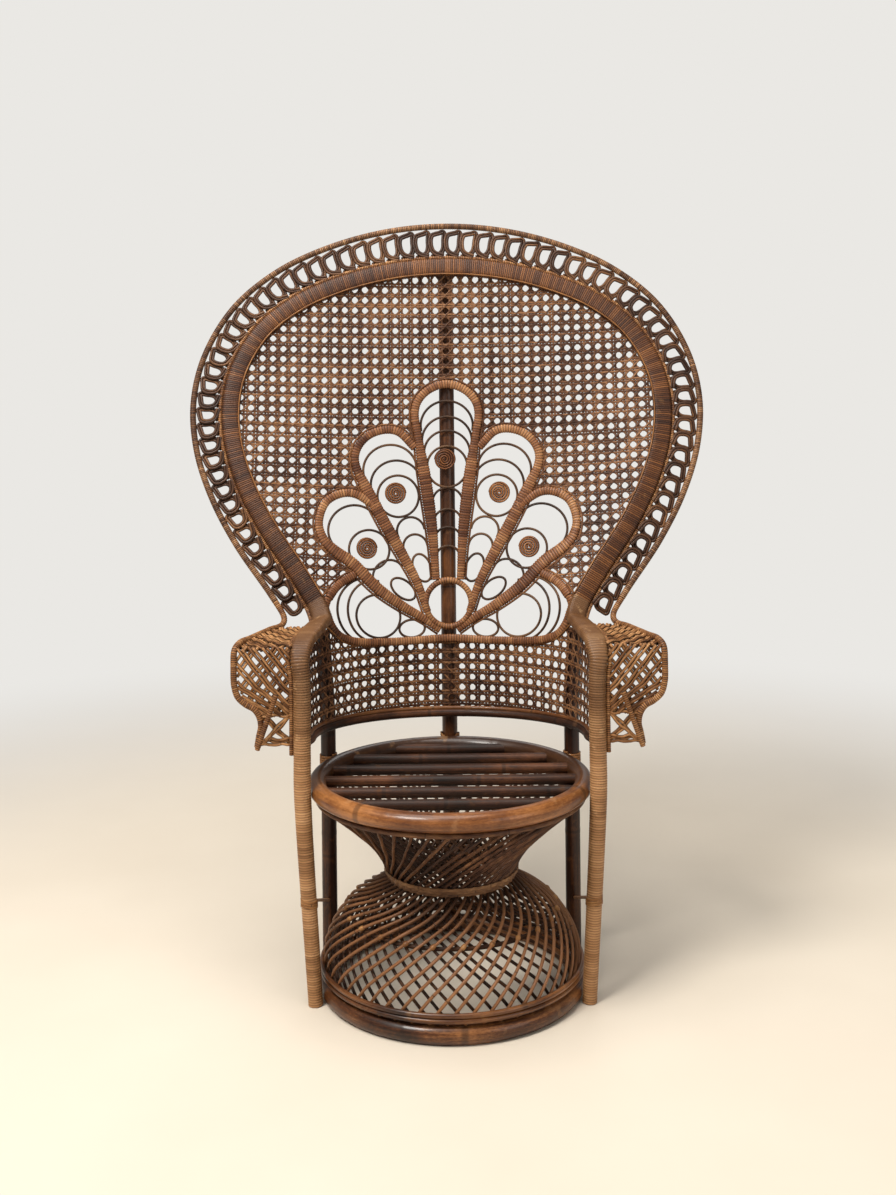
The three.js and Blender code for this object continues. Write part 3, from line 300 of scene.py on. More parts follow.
class Finish:
    def __init__(self, name):
        self.material = bpy.data.materials.new(name)
        self.material.use_nodes = True
        self.tree = self.material.node_tree
        self.shader = self.tree.nodes["Principled BSDF"]

    def node(self, kind, settings=None, inputs=None):
        made = self.tree.nodes.new(kind)
        for setting, value in (settings or {}).items():
            if setting == "stops":
                ramp = made.color_ramp.elements
                while len(ramp) < len(value):
                    ramp.new(0.5)
                for stop, (place, colour) in zip(ramp, value):
                    stop.position, stop.color = place, colour
            else:
                setattr(made, setting, value)
        for socket, value in (inputs or {}).items():
            self.feed(made.inputs[socket], value)
        return made

    def feed(self, socket, value):
        if isinstance(value, Signal):
            self.tree.links.new(value.socket, socket)
        else:
            socket.default_value = value

    def signal(self, kind, settings=None, inputs=None, output=0):
        return Signal(self, self.node(kind, settings, inputs).outputs[output])

    def lay(self):
        places = self.signal("ShaderNodeUVMap", {"uv_map": "lay"})
        parts = self.node("ShaderNodeSeparateXYZ", None, {0: places})
        return Signal(self, parts.outputs["X"]), Signal(self, parts.outputs["Y"])

    def tone(self):
        return self.signal("ShaderNodeAttribute", {"attribute_name": "tone"}, None, "Fac")

    def vector(self, x, y, z):
        return self.signal("ShaderNodeCombineXYZ", None, {0: x, 1: y, 2: z})

    def objectPlace(self):
        return self.signal("ShaderNodeTexCoord", None, None, "Object")

    def distanceAlong(self, axis):
        parts = self.node("ShaderNodeSeparateXYZ", None, {0: self.objectPlace()})
        return Signal(self, parts.outputs[axis])

    def noise(self, place, scale, detail=2.0, roughness=0.5):
        inputs = {"Vector": place, "Scale": scale, "Detail": detail, "Roughness": roughness}
        return self.signal("ShaderNodeTexNoise", None, inputs, "Fac")

    def random(self, value):
        return self.signal("ShaderNodeTexWhiteNoise", {"noise_dimensions": "1D"}, {"W": value}, "Value")

    def ramp(self, value, colours, low=0.2, high=0.8):
        stops = [(place, woodTone(colour)) for place, colour in zip((low, 0.5, high), colours)]
        return self.signal("ShaderNodeValToRGB", {"stops": stops}, {"Fac": value}, "Color")

    def mix(self, share, first, second, kind="MIX"):
        settings = {"data_type": "RGBA", "blend_type": kind, "clamp_factor": True}
        return self.signal("ShaderNodeMix", settings, {0: share, 6: first, 7: second}, 2)

    def finish(self, colour, roughness, height=None, bump=0.3, distance=0.0006, coat=0.0, coatRough=0.2):
        self.feed(self.shader.inputs["Base Color"], colour)
        self.feed(self.shader.inputs["Roughness"], roughness)
        self.shader.inputs["Specular IOR Level"].default_value = 0.28
        self.shader.inputs["Coat Weight"].default_value = coat
        self.shader.inputs["Coat Roughness"].default_value = coatRough
        if height is not None:
            inputs = {"Strength": bump, "Distance": distance, "Height": height}
            self.feed(self.shader.inputs["Normal"], self.signal("ShaderNodeBump", None, inputs, "Normal"))
        return self.material


woodLevel = (0.79, 0.63, 0.44)  # how much darker the poles are than they look in a bright room
jointSpread = 5.0  # how far a pole's own tone moves its joints along, in joints


def toLight(colour):
    levels = np.clip(np.array(colour, float), 0, 255) / 255
    light = np.where(levels <= 0.04045, levels / 12.92, ((levels + 0.055) / 1.055) ** 2.4)
    return (*[float(value) for value in light], 1.0)


def woodTone(colour):
    return (*[value * level for value, level in zip(toLight(colour), woodLevel)], 1.0)


def shaded(colour, share):
    return woodTone([value * share for value in colour])


# Cane wound round a pole: a tone to each turn, painted shade in the grooves between turns, worn golden patches
def woundCane(name, colours, pitch, seamShade=0.9, turnTone=0.34, paintedShadeBack=0.0, paintedShadeTop=0.0):
    cane = Finish(name)
    around, along = cane.lay()
    tone = cane.tone()
    turns = along * (1000 / pitch)
    turn = turns.floor()
    seam = abs(turns - turn - 0.5) * 2
    own = cane.random(turn + tone * 97.0)
    group = cane.random((turns * 0.23 + tone * 31.0).floor())
    fibre = cane.noise(cane.vector(around * 3.0, along * 1900.0, tone * 40.0), 1.0, 2.0)
    patch = cane.noise(cane.objectPlace(), 7.0, 3.0, 0.55)
    stretch = cane.noise(cane.vector(tone * 30.0, along * 9.0, around * 0.6), 1.0, 2.0)
    level = (own.swing(turnTone) + group.swing(0.2) + fibre.swing(0.3) + patch.swing(0.8)
             + stretch.swing(0.5) + 0.5)
    colour = cane.ramp(level, colours, 0.18, 0.82)
    if paintedShadeBack:
        # painted shade towards the back, where the arm tops run into the fan
        paintedShadeBehind = cane.distanceAlong("Y").over(-0.06, 0.12) * paintedShadeBack
        colour = cane.mix(paintedShadeBehind, colour, shaded(colours[0], 0.7))
        paintedShadeAbove = cane.distanceAlong("Z").over(0.4, 0.62) * paintedShadeTop  # painted shade, darkest on the arm tops near the neck
        colour = cane.mix(paintedShadeAbove, colour, shaded(colours[0], 0.82))
    # painted shade in the grooves between the turns of cane
    groove = seam.over(0.42, 0.86) * seamShade
    worn = cane.noise(cane.objectPlace(), 60.0, 2.0).over(0.62, 0.75) * (1 - seam) * 0.35
    colour = cane.mix(groove, colour, shaded(colours[0], 0.3))
    colour = cane.mix(worn, colour, woodTone(colours[3]))
    height = (1 - seam ** 3) + fibre * 0.22
    return cane.finish(colour, 0.62 - patch * 0.22 + groove * 0.25, height, 0.35, 0.0007, 0.05, 0.25)


# Reed and core: fine streaks along the strand, knots, darker stretches and painted shade along the strand's
# sides
def reedFinish(name, colours, streaks=260.0, stretch=16.0, coat=0.05, contrast=1.0, paleLow=0.0, sides=0.0):
    reed = Finish(name)
    around, along = reed.lay()
    tone = reed.tone()
    fibre = reed.noise(reed.vector(around * 9.0, along * streaks * 0.2, tone * 60.0), 1.0, 3.0, 0.6)
    stain = reed.noise(reed.vector(tone * 55.0, along * stretch, around), 1.0, 3.0, 0.6)
    patch = reed.noise(reed.objectPlace(), 11.0, 3.0, 0.55)
    level = (tone.swing(0.3) + fibre.swing(0.7) + stain.swing(0.7) + patch.swing(0.7)) * contrast + 0.5
    colour = reed.ramp(level, colours)
    low = reed.distanceAlong("Z").over(0.21, 0.15) * paleLow  # paler towards the floor
    colour = reed.mix(low, colour, shaded(colours[2], 1.3))
    halves = around * 2.0  # around is 0.25 at the crown of the strand and 0.75 at its back
    # painted shade along both sides of each strand, where strands lie against each other
    edge = (halves.fromMiddle() * 2.0).over(0.15, 0.8) * sides
    colour = reed.mix(edge, colour, shaded(colours[0], 0.35))
    knots = along * 7.0 + tone * 9.0
    knot = knots.fromMiddle().over(0.012, 0.004) * 0.6
    colour = reed.mix(knot, colour, shaded(colours[0], 0.5))
    return reed.finish(colour, 0.62 + fibre * 0.2 - patch * 0.12, fibre + knot, 0.3, 0.0005, coat)


# Skinned rattan pole: lacquered, with a joint every hand or so and streaks along it
def poleFinish(name, colours, jointEvery=0.2, coat=0.35, rough=0.36, contrast=1.0, paintedShadeBack=0.0):
    pole = Finish(name)
    around, along = pole.lay()
    tone = pole.tone()
    joints = along * (1 / jointEvery) + tone * jointSpread
    away = joints.fromMiddle()
    joint = away.over(0.018, 0.006)
    collar = away.over(0.06, 0.02) * 0.5
    streak = pole.noise(pole.vector(around * 16.0, along * 6.0, tone * 40.0), 1.0, 4.0, 0.6)
    speck = pole.noise(pole.vector(around * 40.0, along * 130.0, tone * 20.0), 1.0, 2.0, 0.6)
    patch = pole.noise(pole.objectPlace(), 7.0, 3.0, 0.55)
    level = (streak.swing(0.8) + patch.swing(1.1) + speck.swing(0.4)) * contrast + 0.5 + collar * 0.1
    colour = pole.ramp(level, colours)
    colour = pole.mix(joint * 0.5, colour, shaded(colours[0], 0.45))
    paintedShadeBehind = pole.distanceAlong("Y").over(-0.27, 0.0) * paintedShadeBack  # painted shade towards the back
    colour = pole.mix(paintedShadeBehind, colour, shaded(colours[0], 0.4))
    scuff = pole.noise(pole.objectPlace(), 42.0, 3.0).over(0.6, 0.72)
    colour = pole.mix(scuff * 0.22, colour, woodTone(colours[3]))
    roughness = rough + speck * 0.16 + scuff * 0.2
    return pole.finish(colour, roughness, streak * 0.4 + speck * 0.5 - joint * 1.5, 0.22, 0.0006, coat, 0.16)


bandPitch, rimPitch, motifPitch, postPitch = 4.1, 3.8, 5.6, 4.6  # the width of one turn of cane
bandCane = woundCane("band_cane", [(54, 28, 9), (93, 58, 30), (142, 98, 58), (172, 134, 92)],
                     bandPitch)
rimCane = woundCane("rim_cane", [(72, 46, 30), (124, 94, 71), (188, 154, 124), (214, 188, 160)],
                    rimPitch)
trimCane = woundCane("trim_cane", [(96, 62, 38), (156, 116, 80), (206, 168, 128), (228, 198, 162)],
                     rimPitch)
petalCane = woundCane("petal_cane", [(84, 50, 30), (138, 97, 70), (192, 154, 120), (216, 186, 152)],
                      motifPitch, seamShade=0.6, turnTone=0.24)
# the front posts get painted shade towards the back and on the arm tops
postCane = woundCane("post_cane", [(112, 80, 53), (182, 147, 114), (226, 194, 162), (238, 214, 184)],
                     postPitch, seamShade=0.45, turnTone=0.16, paintedShadeBack=0.5, paintedShadeTop=0.72)
loopReed = reedFinish("loop_reed", [(46, 27, 14), (78, 52, 33), (128, 96, 68)], coat=0.1, sides=0.6)
armReed = reedFinish("arm_reed", [(92, 60, 34), (150, 112, 76), (204, 168, 132)], contrast=1.2, sides=0.7)
hoopReed = reedFinish("hoop_reed", [(34, 22, 14), (64, 46, 34), (110, 86, 66)])
rodReed = reedFinish("rod_reed", [(70, 42, 24), (108, 74, 48), (150, 112, 80)])
fineCane = {"streaks": 420.0, "stretch": 60.0, "contrast": 1.4, "sides": 0.7}
caneStrand = reedFinish("cane_strand", [(56, 33, 20), (95, 65, 46), (150, 116, 90)], **fineCane)
wallStrand = reedFinish("wall_strand", [(54, 31, 19), (98, 68, 49), (154, 119, 92)], **fineCane)
edgeCane = reedFinish("edge_cane", [(104, 70, 42), (146, 108, 70), (188, 152, 110)], 300.0, 30.0, 0.2)
funnelReed = reedFinish("funnel_reed", [(44, 24, 12), (84, 56, 38), (132, 100, 76)], coat=0.12, paleLow=0.5)
# a darker copy of the funnel reeds for the reeds inside the base: painted shade of the base's inside
liningReedInShade = reedFinish("lining_reed", [(28, 15, 8), (56, 35, 21), (90, 64, 44)])
waistCane = reedFinish("waist_cane", [(84, 58, 40), (128, 98, 74), (172, 142, 114)], 300.0, 30.0, 0.15)
coilReed = reedFinish("coil_reed", [(84, 48, 22), (134, 90, 52), (180, 134, 88)], coat=0.1, sides=0.95)
# the seat ring gets painted shade at its back
seatPole = poleFinish("seat_rattan", [(78, 42, 16), (132, 88, 50), (178, 130, 86), (206, 172, 138)], 0.45,
                      contrast=1.2, paintedShadeBack=0.85)
floorPole = poleFinish("floor_rattan", [(38, 18, 6), (92, 58, 33), (154, 112, 76), (194, 160, 128)], 0.5,
                       contrast=1.3)
rearPole = poleFinish("rear_rattan", [(22, 9, 2), (48, 24, 8), (96, 61, 34), (140, 104, 70)], 0.24, 0.12)
centrePole = poleFinish("centre_rattan", [(38, 18, 5), (70, 42, 20), (110, 73, 43), (148, 112, 80)],
                        0.16, 0.15)
blackPole = poleFinish("black_rattan", [(16, 7, 2), (54, 30, 14), (106, 69, 43), (126, 96, 70)],
                       0.3, 0.06, 0.54)
rodPole = poleFinish("rod_rattan", [(66, 38, 18), (108, 72, 44), (152, 114, 78), (186, 150, 114)], 0.22, 0.2)
print("finishes made")


# Base: seat ring, seat poles, hourglass of reeds and floor ring

seat = {
    "ringRadius": 250, "ringThickness": 34, "height": 380, "innerRadius": 232.5, "innerThickness": 16,
    "innerHeight": 361.7, "poleThickness": 20, "poleDepths": (-150.5, -77.5, -4.5, 68.5, 141.5, 214.5),
    "poleEnd": 4, "poleJoints": 170.0,
}


jointShape = {"reach": 5.0, "dip": 0.008, "dipReach": 18.0, "ringSwell": 0.02}


# A round pole with a slight swelling at each of its joints
def rattan(line, thickness, facing, jointEvery=200.0, swell=0.03, closed=False):
    line = evenSteps(line, step=4.0)
    tone = chance.random()
    joints = lengthsOf(line) / jointEvery + tone * jointSpread
    away = np.abs(joints - np.floor(joints) - 0.5) * jointEvery
    half = thickness / 2 * (1 + swell * np.exp(-(away / jointShape["reach"]) ** 2)
                            - jointShape["dip"] * np.exp(-(away / jointShape["dipReach"]) ** 2))
    if closed:
        half[-1] = half[0]
    return strand(line, half, None, facing, tone=tone, closed=closed)


ringLine = circle(seat["ringRadius"], seat["height"], 4.0)
seatHoop = rattan(ringLine, seat["ringThickness"], upward, swell=jointShape["ringSwell"], closed=True)
polePiece("seatHoop", [seatHoop], seatPole, ["seat_ring"], 24)
innerLine = circle(seat["innerRadius"], seat["innerHeight"], 5.0)
polePiece("innerHoop", [rattan(innerLine, seat["innerThickness"], upward, closed=True)],
          blackPole, ["seat_inner_ring"], 16)
seatPoles = []
for depth in seat["poleDepths"]:
    reach = math.sqrt((seat["ringRadius"] - seat["poleEnd"]) ** 2 - depth ** 2)
    ends = np.array([[-reach, depth, seat["height"]], [reach, depth, seat["height"]]], float)
    seatPoles.append(rattan(ends, seat["poleThickness"], upward, seat["poleJoints"]))
polePiece("seatPoles", seatPoles, blackPole, [f"seat_pole_{n}" for n in range(1, 7)], 16)

base = {
    "reeds": 48, "reedThickness": 5.9, "twist": 115.0, "liningDepth": 10.0,
    "path": [(250, 357.7, 0), (196.9, 313, 0.07), (145.6, 263.5, 0.2), (111.4, 202.9, 0.47),
             (151.5, 178.6, 0.58), (198.1, 148.2, 0.73), (236.5, 83.6, 0.91), (236.25, 32, 1.0)],
    "waistPlace": 3, "shoulderPlace": 5, "shoulderHoop": 8, "liningStart": 3.0,
    "topHoop": (250, 357.7, 10), "upperHoop": (221.3, 361.7, 8), "thinHoopRadius": 243.7,
    "thinHoops": (41.5, 50.8), "thinHoopThickness": 9, "floorRadius": 233, "floorThickness": 35,
    "floorHeight": 15.5, "waistHeights": (206.5, 212.5, 218.0), "waistStrand": (3.1, 1.3),
    "waistWeave": 1.1, "waistGap": 2.2, "waistRows": 288, "waistSlope": ((202.9, 266), (111.4, 145.6)),
    "overWaist": 3, "knotHeight": 148.2, "knotBelow": 200, "knotLength": 10.0, "knotSwell": 2.0,
    "turnLength": 300, "bowHeights": (32, 200, 360), "swayHeights": (32, 120, 200, 280, 360),
    "uneven": (0.93, 1.05), "thinHoopJoints": 170.0, "floorJoints": 260.0,
}


def hourglassReeds(path, twist, start=0.0, corner=None):
    turns = np.array([(radius, height, turn * base["turnLength"]) for radius, height, turn in path], float)
    fine = curveThrough(turns)
    if corner:  # two curves that meet at the waist
        fine = np.vstack([curveThrough(turns[:corner + 1]), curveThrough(turns[corner:])[1:]])
    fine = evenSteps(fine, step=5.0)
    reeds = []
    for index in range(base["reeds"]):
        drift = chance.normal(0, 0.5, 2)
        radius = fine[:, 0] + np.interp(fine[:, 1], base["bowHeights"], [0, drift[0], 0])
        angle = start + 360 * index / base["reeds"] + twist * fine[:, 2] / base["turnLength"]
        angle = angle + np.interp(fine[:, 1], base["swayHeights"], [0, drift[1], 0, -drift[1], 0])
        line = polar(radius, angle, fine[:, 1])
        thickness = base["reedThickness"] / 2 * chance.uniform(*base["uneven"])
        reeds.append(strand(line, thickness, None, outFromAxis(line)))
    return reeds


def inwardPath(path, depth):
    places = np.array(path, float)
    slope = np.vstack([places[1:2, :2] - places[:1, :2], places[2:, :2] - places[:-2, :2],
                       places[-1:, :2] - places[-2:-1, :2]])
    slope = unit(slope)
    return np.c_[places[:, 0] + slope[:, 1] * depth, places[:, 1] - slope[:, 0] * depth, places[:, 2]]


def hoopStrand(radius, height, thickness):
    return strand(circle(radius, height, 6.0), thickness / 2, None, upward, closed=True)


outerReeds = hourglassReeds(base["path"], -base["twist"], corner=base["waistPlace"])
polePiece("baseReeds", outerReeds + [hoopStrand(*base["topHoop"])], funnelReed,
          ["base_reeds"], 10)
inward = inwardPath(base["path"], base["liningDepth"])
upperPath = np.vstack([[base["upperHoop"][0], base["upperHoop"][1], 0], inward[1:4]])
polePiece("upperLining", hourglassReeds(upperPath, base["twist"], base["liningStart"])
          + [hoopStrand(*base["upperHoop"])], liningReedInShade, ["base_upper_lining"], 8)
lowerPath = inward[base["waistPlace"]:].copy()
lowerPath[0, 1] = base["path"][base["waistPlace"]][1] + base["overWaist"]
lowerPath[-1, 1] = base["path"][-1][1]
shoulder = inward[base["shoulderPlace"]]
polePiece("lowerLining", hourglassReeds(lowerPath, base["twist"], base["liningStart"])
          + [hoopStrand(shoulder[0], shoulder[1], base["shoulderHoop"])], liningReedInShade,
          ["base_lower_lining"], 8)

# Small turns of cane that tie the reeds to the hoop at the shoulder
knots = []
for made in outerReeds[::2]:
    line = made["line"]
    away = np.abs(line[:, 2] - base["knotHeight"])
    near = int(np.argmin(np.where(line[:, 2] > base["knotBelow"], np.inf, away)))
    middle = line[near]
    way = unit(line[near + 1] - line[near - 1])
    ends = np.array([middle - way * base["knotLength"] / 2, middle + way * base["knotLength"] / 2])
    swell = made["wide"] + base["knotSwell"] * np.sin(np.linspace(0.3, math.pi - 0.3, 5))
    knots.append(strand(evenSteps(ends, count=5), swell, None, outFromAxis(middle[None])[0]))
polePiece("shoulderKnots", knots, edgeCane, (), 8)

# Flat strands wound round the waist, rising and dipping over the reeds
waistStrands = []
for index, height in enumerate(base["waistHeights"]):
    angles = np.linspace(90, 450, base["waistRows"] + 1)
    near = np.interp(height, *base["waistSlope"]) + base["reedThickness"] / 2 + base["waistGap"]
    rising = base["waistWeave"] * np.cos(np.radians(angles) * base["reeds"] + index * math.pi)
    line = polar(near + rising, angles, height)
    waistStrands.append(strand(line, *base["waistStrand"], outFromAxis(line), 0.6, 0.3 + 0.3 * index,
                               closed=True))
polePiece("waistBinding", waistStrands, waistCane, ["waist_binding"], 10)

for name, height in zip(("floor_hoop_lower", "floor_hoop_upper"), base["thinHoops"]):
    line = circle(base["thinHoopRadius"], height, 5.0)
    polePiece(name.replace("floor_hoop_", "thinHoop_"),
              [rattan(line, base["thinHoopThickness"], upward, base["thinHoopJoints"], closed=True)],
              floorPole, [name], 14)
floorLine = circle(base["floorRadius"], base["floorHeight"], 4.0)
floorRing = rattan(floorLine, base["floorThickness"], upward, base["floorJoints"],
                   jointShape["ringSwell"], closed=True)
polePiece("floorHoop", [floorRing], floorPole, ["floor_ring"], 24)
print("base made")


# Fan plane

fan = {
    "halfWidth": 537, "rise": 842, "neckDepth": 150, "neckHeight": 670, "lean": 15,
    "outline": [(0, 1), (0.24, 0.986), (0.477, 0.943), (0.683, 0.877), (0.853, 0.78), (0.963, 0.651),
                (1, 0.526), (0.98, 0.404), (0.914, 0.283), (0.813, 0.166), (0.683, 0.05), (0.612, -0.018)],
    "rimThickness": 13, "loopWidths": (62, 46, 34), "sideShare": 0.6,
    "trimThickness": 8.5, "trimReach": 3.005, "bandWidth": 38, "bandThickness": 22,
    "edgeReed": 1.5, "edgeInset": 1.2, "bandCorner": 0.5, "bandGroove": 0.05, "rimCut": 22,
    "trimCut": 3, "trimFacing": (0.0, -1.0, 0.35),
}
leanSine, leanCosine = math.sin(math.radians(fan["lean"])), math.cos(math.radians(fan["lean"]))
forward = np.array([0, -leanCosine, leanSine])
fitGap = 0.3


def fanPlace(side, rise, ahead=0.0):
    side, rise, ahead = np.broadcast_arrays(side, rise, ahead)
    return np.stack([side, fan["neckDepth"] + rise * leanSine - ahead * leanCosine,
                     fan["neckHeight"] + rise * leanCosine + ahead * leanSine], -1)


rightOutline = np.array(fan["outline"]) * (fan["halfWidth"], fan["rise"])
leftOutline = rightOutline[:0:-1] * (-1, 1)
fanEdge = evenSteps(curveThrough(np.vstack([leftOutline, rightOutline])), count=2401, width=2)
fanTangent = unit(np.gradient(fanEdge, axis=0))
edgeShares = np.linspace(0, 1, len(fanEdge))


def inFromEdge(share, inward):
    edge = np.stack([np.interp(share, edgeShares, fanEdge[:, k]) for k in (0, 1)], -1)
    tangent = np.stack([np.interp(share, edgeShares, fanTangent[:, k]) for k in (0, 1)], -1)
    return edge[..., 0] + tangent[..., 1] * inward, edge[..., 1] - tangent[..., 0] * inward


def loopWidth(share):
    reach = np.abs(2 * share - 1)
    top, side, neck = fan["loopWidths"]
    upper = blend(top, side, ease(reach, 0, fan["sideShare"]))
    lower = blend(side, neck, (reach - fan["sideShare"]) / (1 - fan["sideShare"]))
    return np.where(reach < fan["sideShare"], upper, lower)


loopStart = fan["rimThickness"] + 3 * fitGap


def trimDepth(share):
    return loopStart + loopWidth(share) + 2 * fitGap + fan["trimReach"]


def bandDepth(share):
    return trimDepth(share) + fan["trimReach"] + fan["bandWidth"] / 2 + fitGap


shares = np.linspace(0, 1, 1200)
bandLine = fanPlace(*inFromEdge(shares, bandDepth(shares)))
trimLine = fanPlace(*inFromEdge(shares, trimDepth(shares)))
rimLine = fanPlace(*inFromEdge(shares, fan["rimThickness"] / 2))
bandHalf = fan["bandWidth"] / 2, fan["bandThickness"] / 2
fanBand = wound(bandLine, *bandHalf, forward, bandPitch, fan["bandCorner"], fan["bandGroove"])
polePiece("fanBand", [fanBand], bandCane, ["fan_hoop"], 20)
fanRim = woundRod(rimLine[fan["rimCut"]:-fan["rimCut"]], fan["rimThickness"], forward, rimPitch)
polePiece("fanRim", [fanRim], rimCane, ["outer_rim"], 12)

edgeDepth = bandDepth(shares) + fan["bandWidth"] / 2 - fan["edgeInset"]
edgeLine = fanPlace(*inFromEdge(shares, edgeDepth), fan["bandThickness"] / 2 - fan["edgeReed"])
polePiece("bandEdge", [strand(evenSteps(edgeLine, step=6.0), fan["edgeReed"], None, forward)], edgeCane,
          (), 8)

# Front posts, which bend over into the arm tops and run on into the band
post = {
    "side": 268.624, "footSide": 248.5, "depth": 90, "footThickness": 27, "thickness": 32,
    "trimStart": 453.5, "cornerStart": 591.2, "cornerHeight": 652, "armDepth": 240,
    "flattenSpans": (3, 5), "turnSpans": (7, 10), "trimSpan": 2, "neckAhead": 50,
    "armTop": [(0.016, 0.08, 0.53), (0.08, 0.05, 0.85), (0.2, -0.02, 1), (0.45, -0.15, 1.06),
               (0.7, -0.3, 1.12), (0.88, -0.44, 1.18)],
}
neckPlace = bandLine[-1]
neckAcross = fanPlace(-fanTangent[-1, 1], fanTangent[-1, 0]) - fanPlace(0, 0)
postPlaces = [(post["footSide"], -post["depth"], 0), (post["side"], -post["depth"], seat["height"]),
              (post["side"], -post["depth"], post["trimStart"]),
              (post["side"], -post["depth"], post["cornerStart"])]
for back, out, up in post["armTop"]:
    postPlaces.append((post["side"] + out * fan["bandWidth"], -post["depth"] + back * post["armDepth"],
                       blend(post["cornerStart"], post["cornerHeight"], up)))
postPlaces += [neckPlace, bandLine[-post["neckAhead"]]]  # the last only sets the way at the neck
postFine = curveThrough(postPlaces)[:(len(postPlaces) - 2) * curveRows + 1]
place = np.arange(len(postFine)) / curveRows
postTangent = unit(np.gradient(postFine, axis=0))
postTangent[0] = upward
turned = ease(place, *post["turnSpans"])[:, None]
wish = blend(np.array([1.0, 0, 0]), neckAcross, turned)
postAcross = unit(wish - postTangent * (wish * postTangent).sum(1, keepdims=True))
postFacing = np.cross(postTangent, postAcross)
flat = ease(place, *post["flattenSpans"])
roundHalf = blend(post["footThickness"], post["thickness"], np.clip(place, 0, 1)) / 2
postWide = blend(roundHalf, bandHalf[0], flat)
postDeep = blend(roundHalf, bandHalf[1], flat)
postCorner = blend(1.0, fan["bandCorner"], flat)
frontPost = wound(postFine, postWide, postDeep, postFacing, postPitch, postCorner, 0.08)
polePiece("frontPosts", bothSides([frontPost]), postCane, nodePair("front_post"), 20)

# Trim rod outside the band and the posts
beside = postAcross * (postWide + fitGap + fan["trimReach"])[:, None]
postTrim = (postFine + beside)[place >= post["trimSpan"]][::-1]
trimWhole = np.vstack([(postTrim * (-1, 1, 1))[::-1], trimLine[fan["trimCut"]:-fan["trimCut"]], postTrim])
trimRod = woundRod(evenSteps(trimWhole, step=3.0), fan["trimThickness"], fan["trimFacing"], rimPitch)
polePiece("trimRod", [trimRod], trimCane, ["trim_rod"], 10)

# Border of loops: double reeds, each loop crossing its own feet under the opening
border = {
    "count": 70, "reed": 3.1, "deep": 0.85, "apart": 2.7, "lift": 2.4, "drift": 0.25, "gap": 0.5,
    "ends": (0.001, 0.999), "drawn": (33, 46),
    "loop": [(0.42, 1.0, 1), (0.1, 0.94, 1), (-0.16, 0.88, 1), (-0.34, 0.77, 1), (-0.42, 0.6, 1),
             (-0.42, 0.38, 1), (-0.34, 0.24, 1), (-0.13, 0.17, 0.6), (0.16, 0.12, 0), (0.38, 0.07, -0.6),
             (0.46, 0.18, -1), (0.43, 0.38, -1), (0.42, 0.6, -1), (0.34, 0.77, -1), (0.16, 0.88, -1),
             (-0.1, 0.94, -1), (-0.42, 1.0, -1)],
}
loopShape = curveThrough(border["loop"], fine=8)
loopTangent = unit(np.gradient(loopShape[:, :2] * border["drawn"], axis=0))
edgeLength = lengthsOf(fanEdge)[-1]
borderReeds = []
for index in range(border["count"]):
    for apart in (-1, 1):
        share = (index + 0.5 + loopShape[:, 0]) / border["count"]
        middle = np.clip(share, *border["ends"])
        inward = loopStart + border["gap"] + loopShape[:, 1] * loopWidth(middle)
        slip = loopTangent * apart * border["apart"]
        side, rise = inFromEdge(middle + slip[:, 1] / edgeLength, inward - slip[:, 0])
        line = fanPlace(side, rise, loopShape[:, 2] * border["lift"] + chance.normal(0, border["drift"]))
        borderReeds.append(strand(evenSteps(line, step=3.0), border["reed"], border["reed"] * border["deep"],
                                  forward))
polePiece("borderLoops", borderReeds, loopReed, ["loop_border"], 6)
print("fan frame made")


# Dished surface that the caning and the motif lie on
dish = {"bendBack": 157.2, "postBack": 27.6, "offPost": 23.1, "bendRise": -71.8, "probe": 3.0}
bandTopRise = float(inFromEdge(0.5, bandDepth(0.5))[1])
rightShares = np.linspace(1, 0.5, 200)
innerSide, innerRise = inFromEdge(rightShares, bandDepth(rightShares) + fan["bandWidth"] / 2)


def centreBack(rise):
    share = (rise - dish["bendRise"]) / (bandTopRise - dish["bendRise"])
    return blend(dish["bendBack"], dish["postBack"], share) - dish["offPost"]


def dishPlace(spot, lift=0.0):
    side, rise = spot[..., 0], spot[..., 1]
    width = np.maximum(np.interp(rise, innerRise, innerSide), 1e-6)
    share = np.minimum(1, np.abs(side) / width)
    return fanPlace(side, rise, lift - centreBack(rise) * (1 - share ** 2))


def dishFacing(spot):
    at = dishPlace(spot)
    across = dishPlace(spot + (dish["probe"], 0)) - at
    return unit(np.cross(across, dishPlace(spot + (0, dish["probe"])) - at))


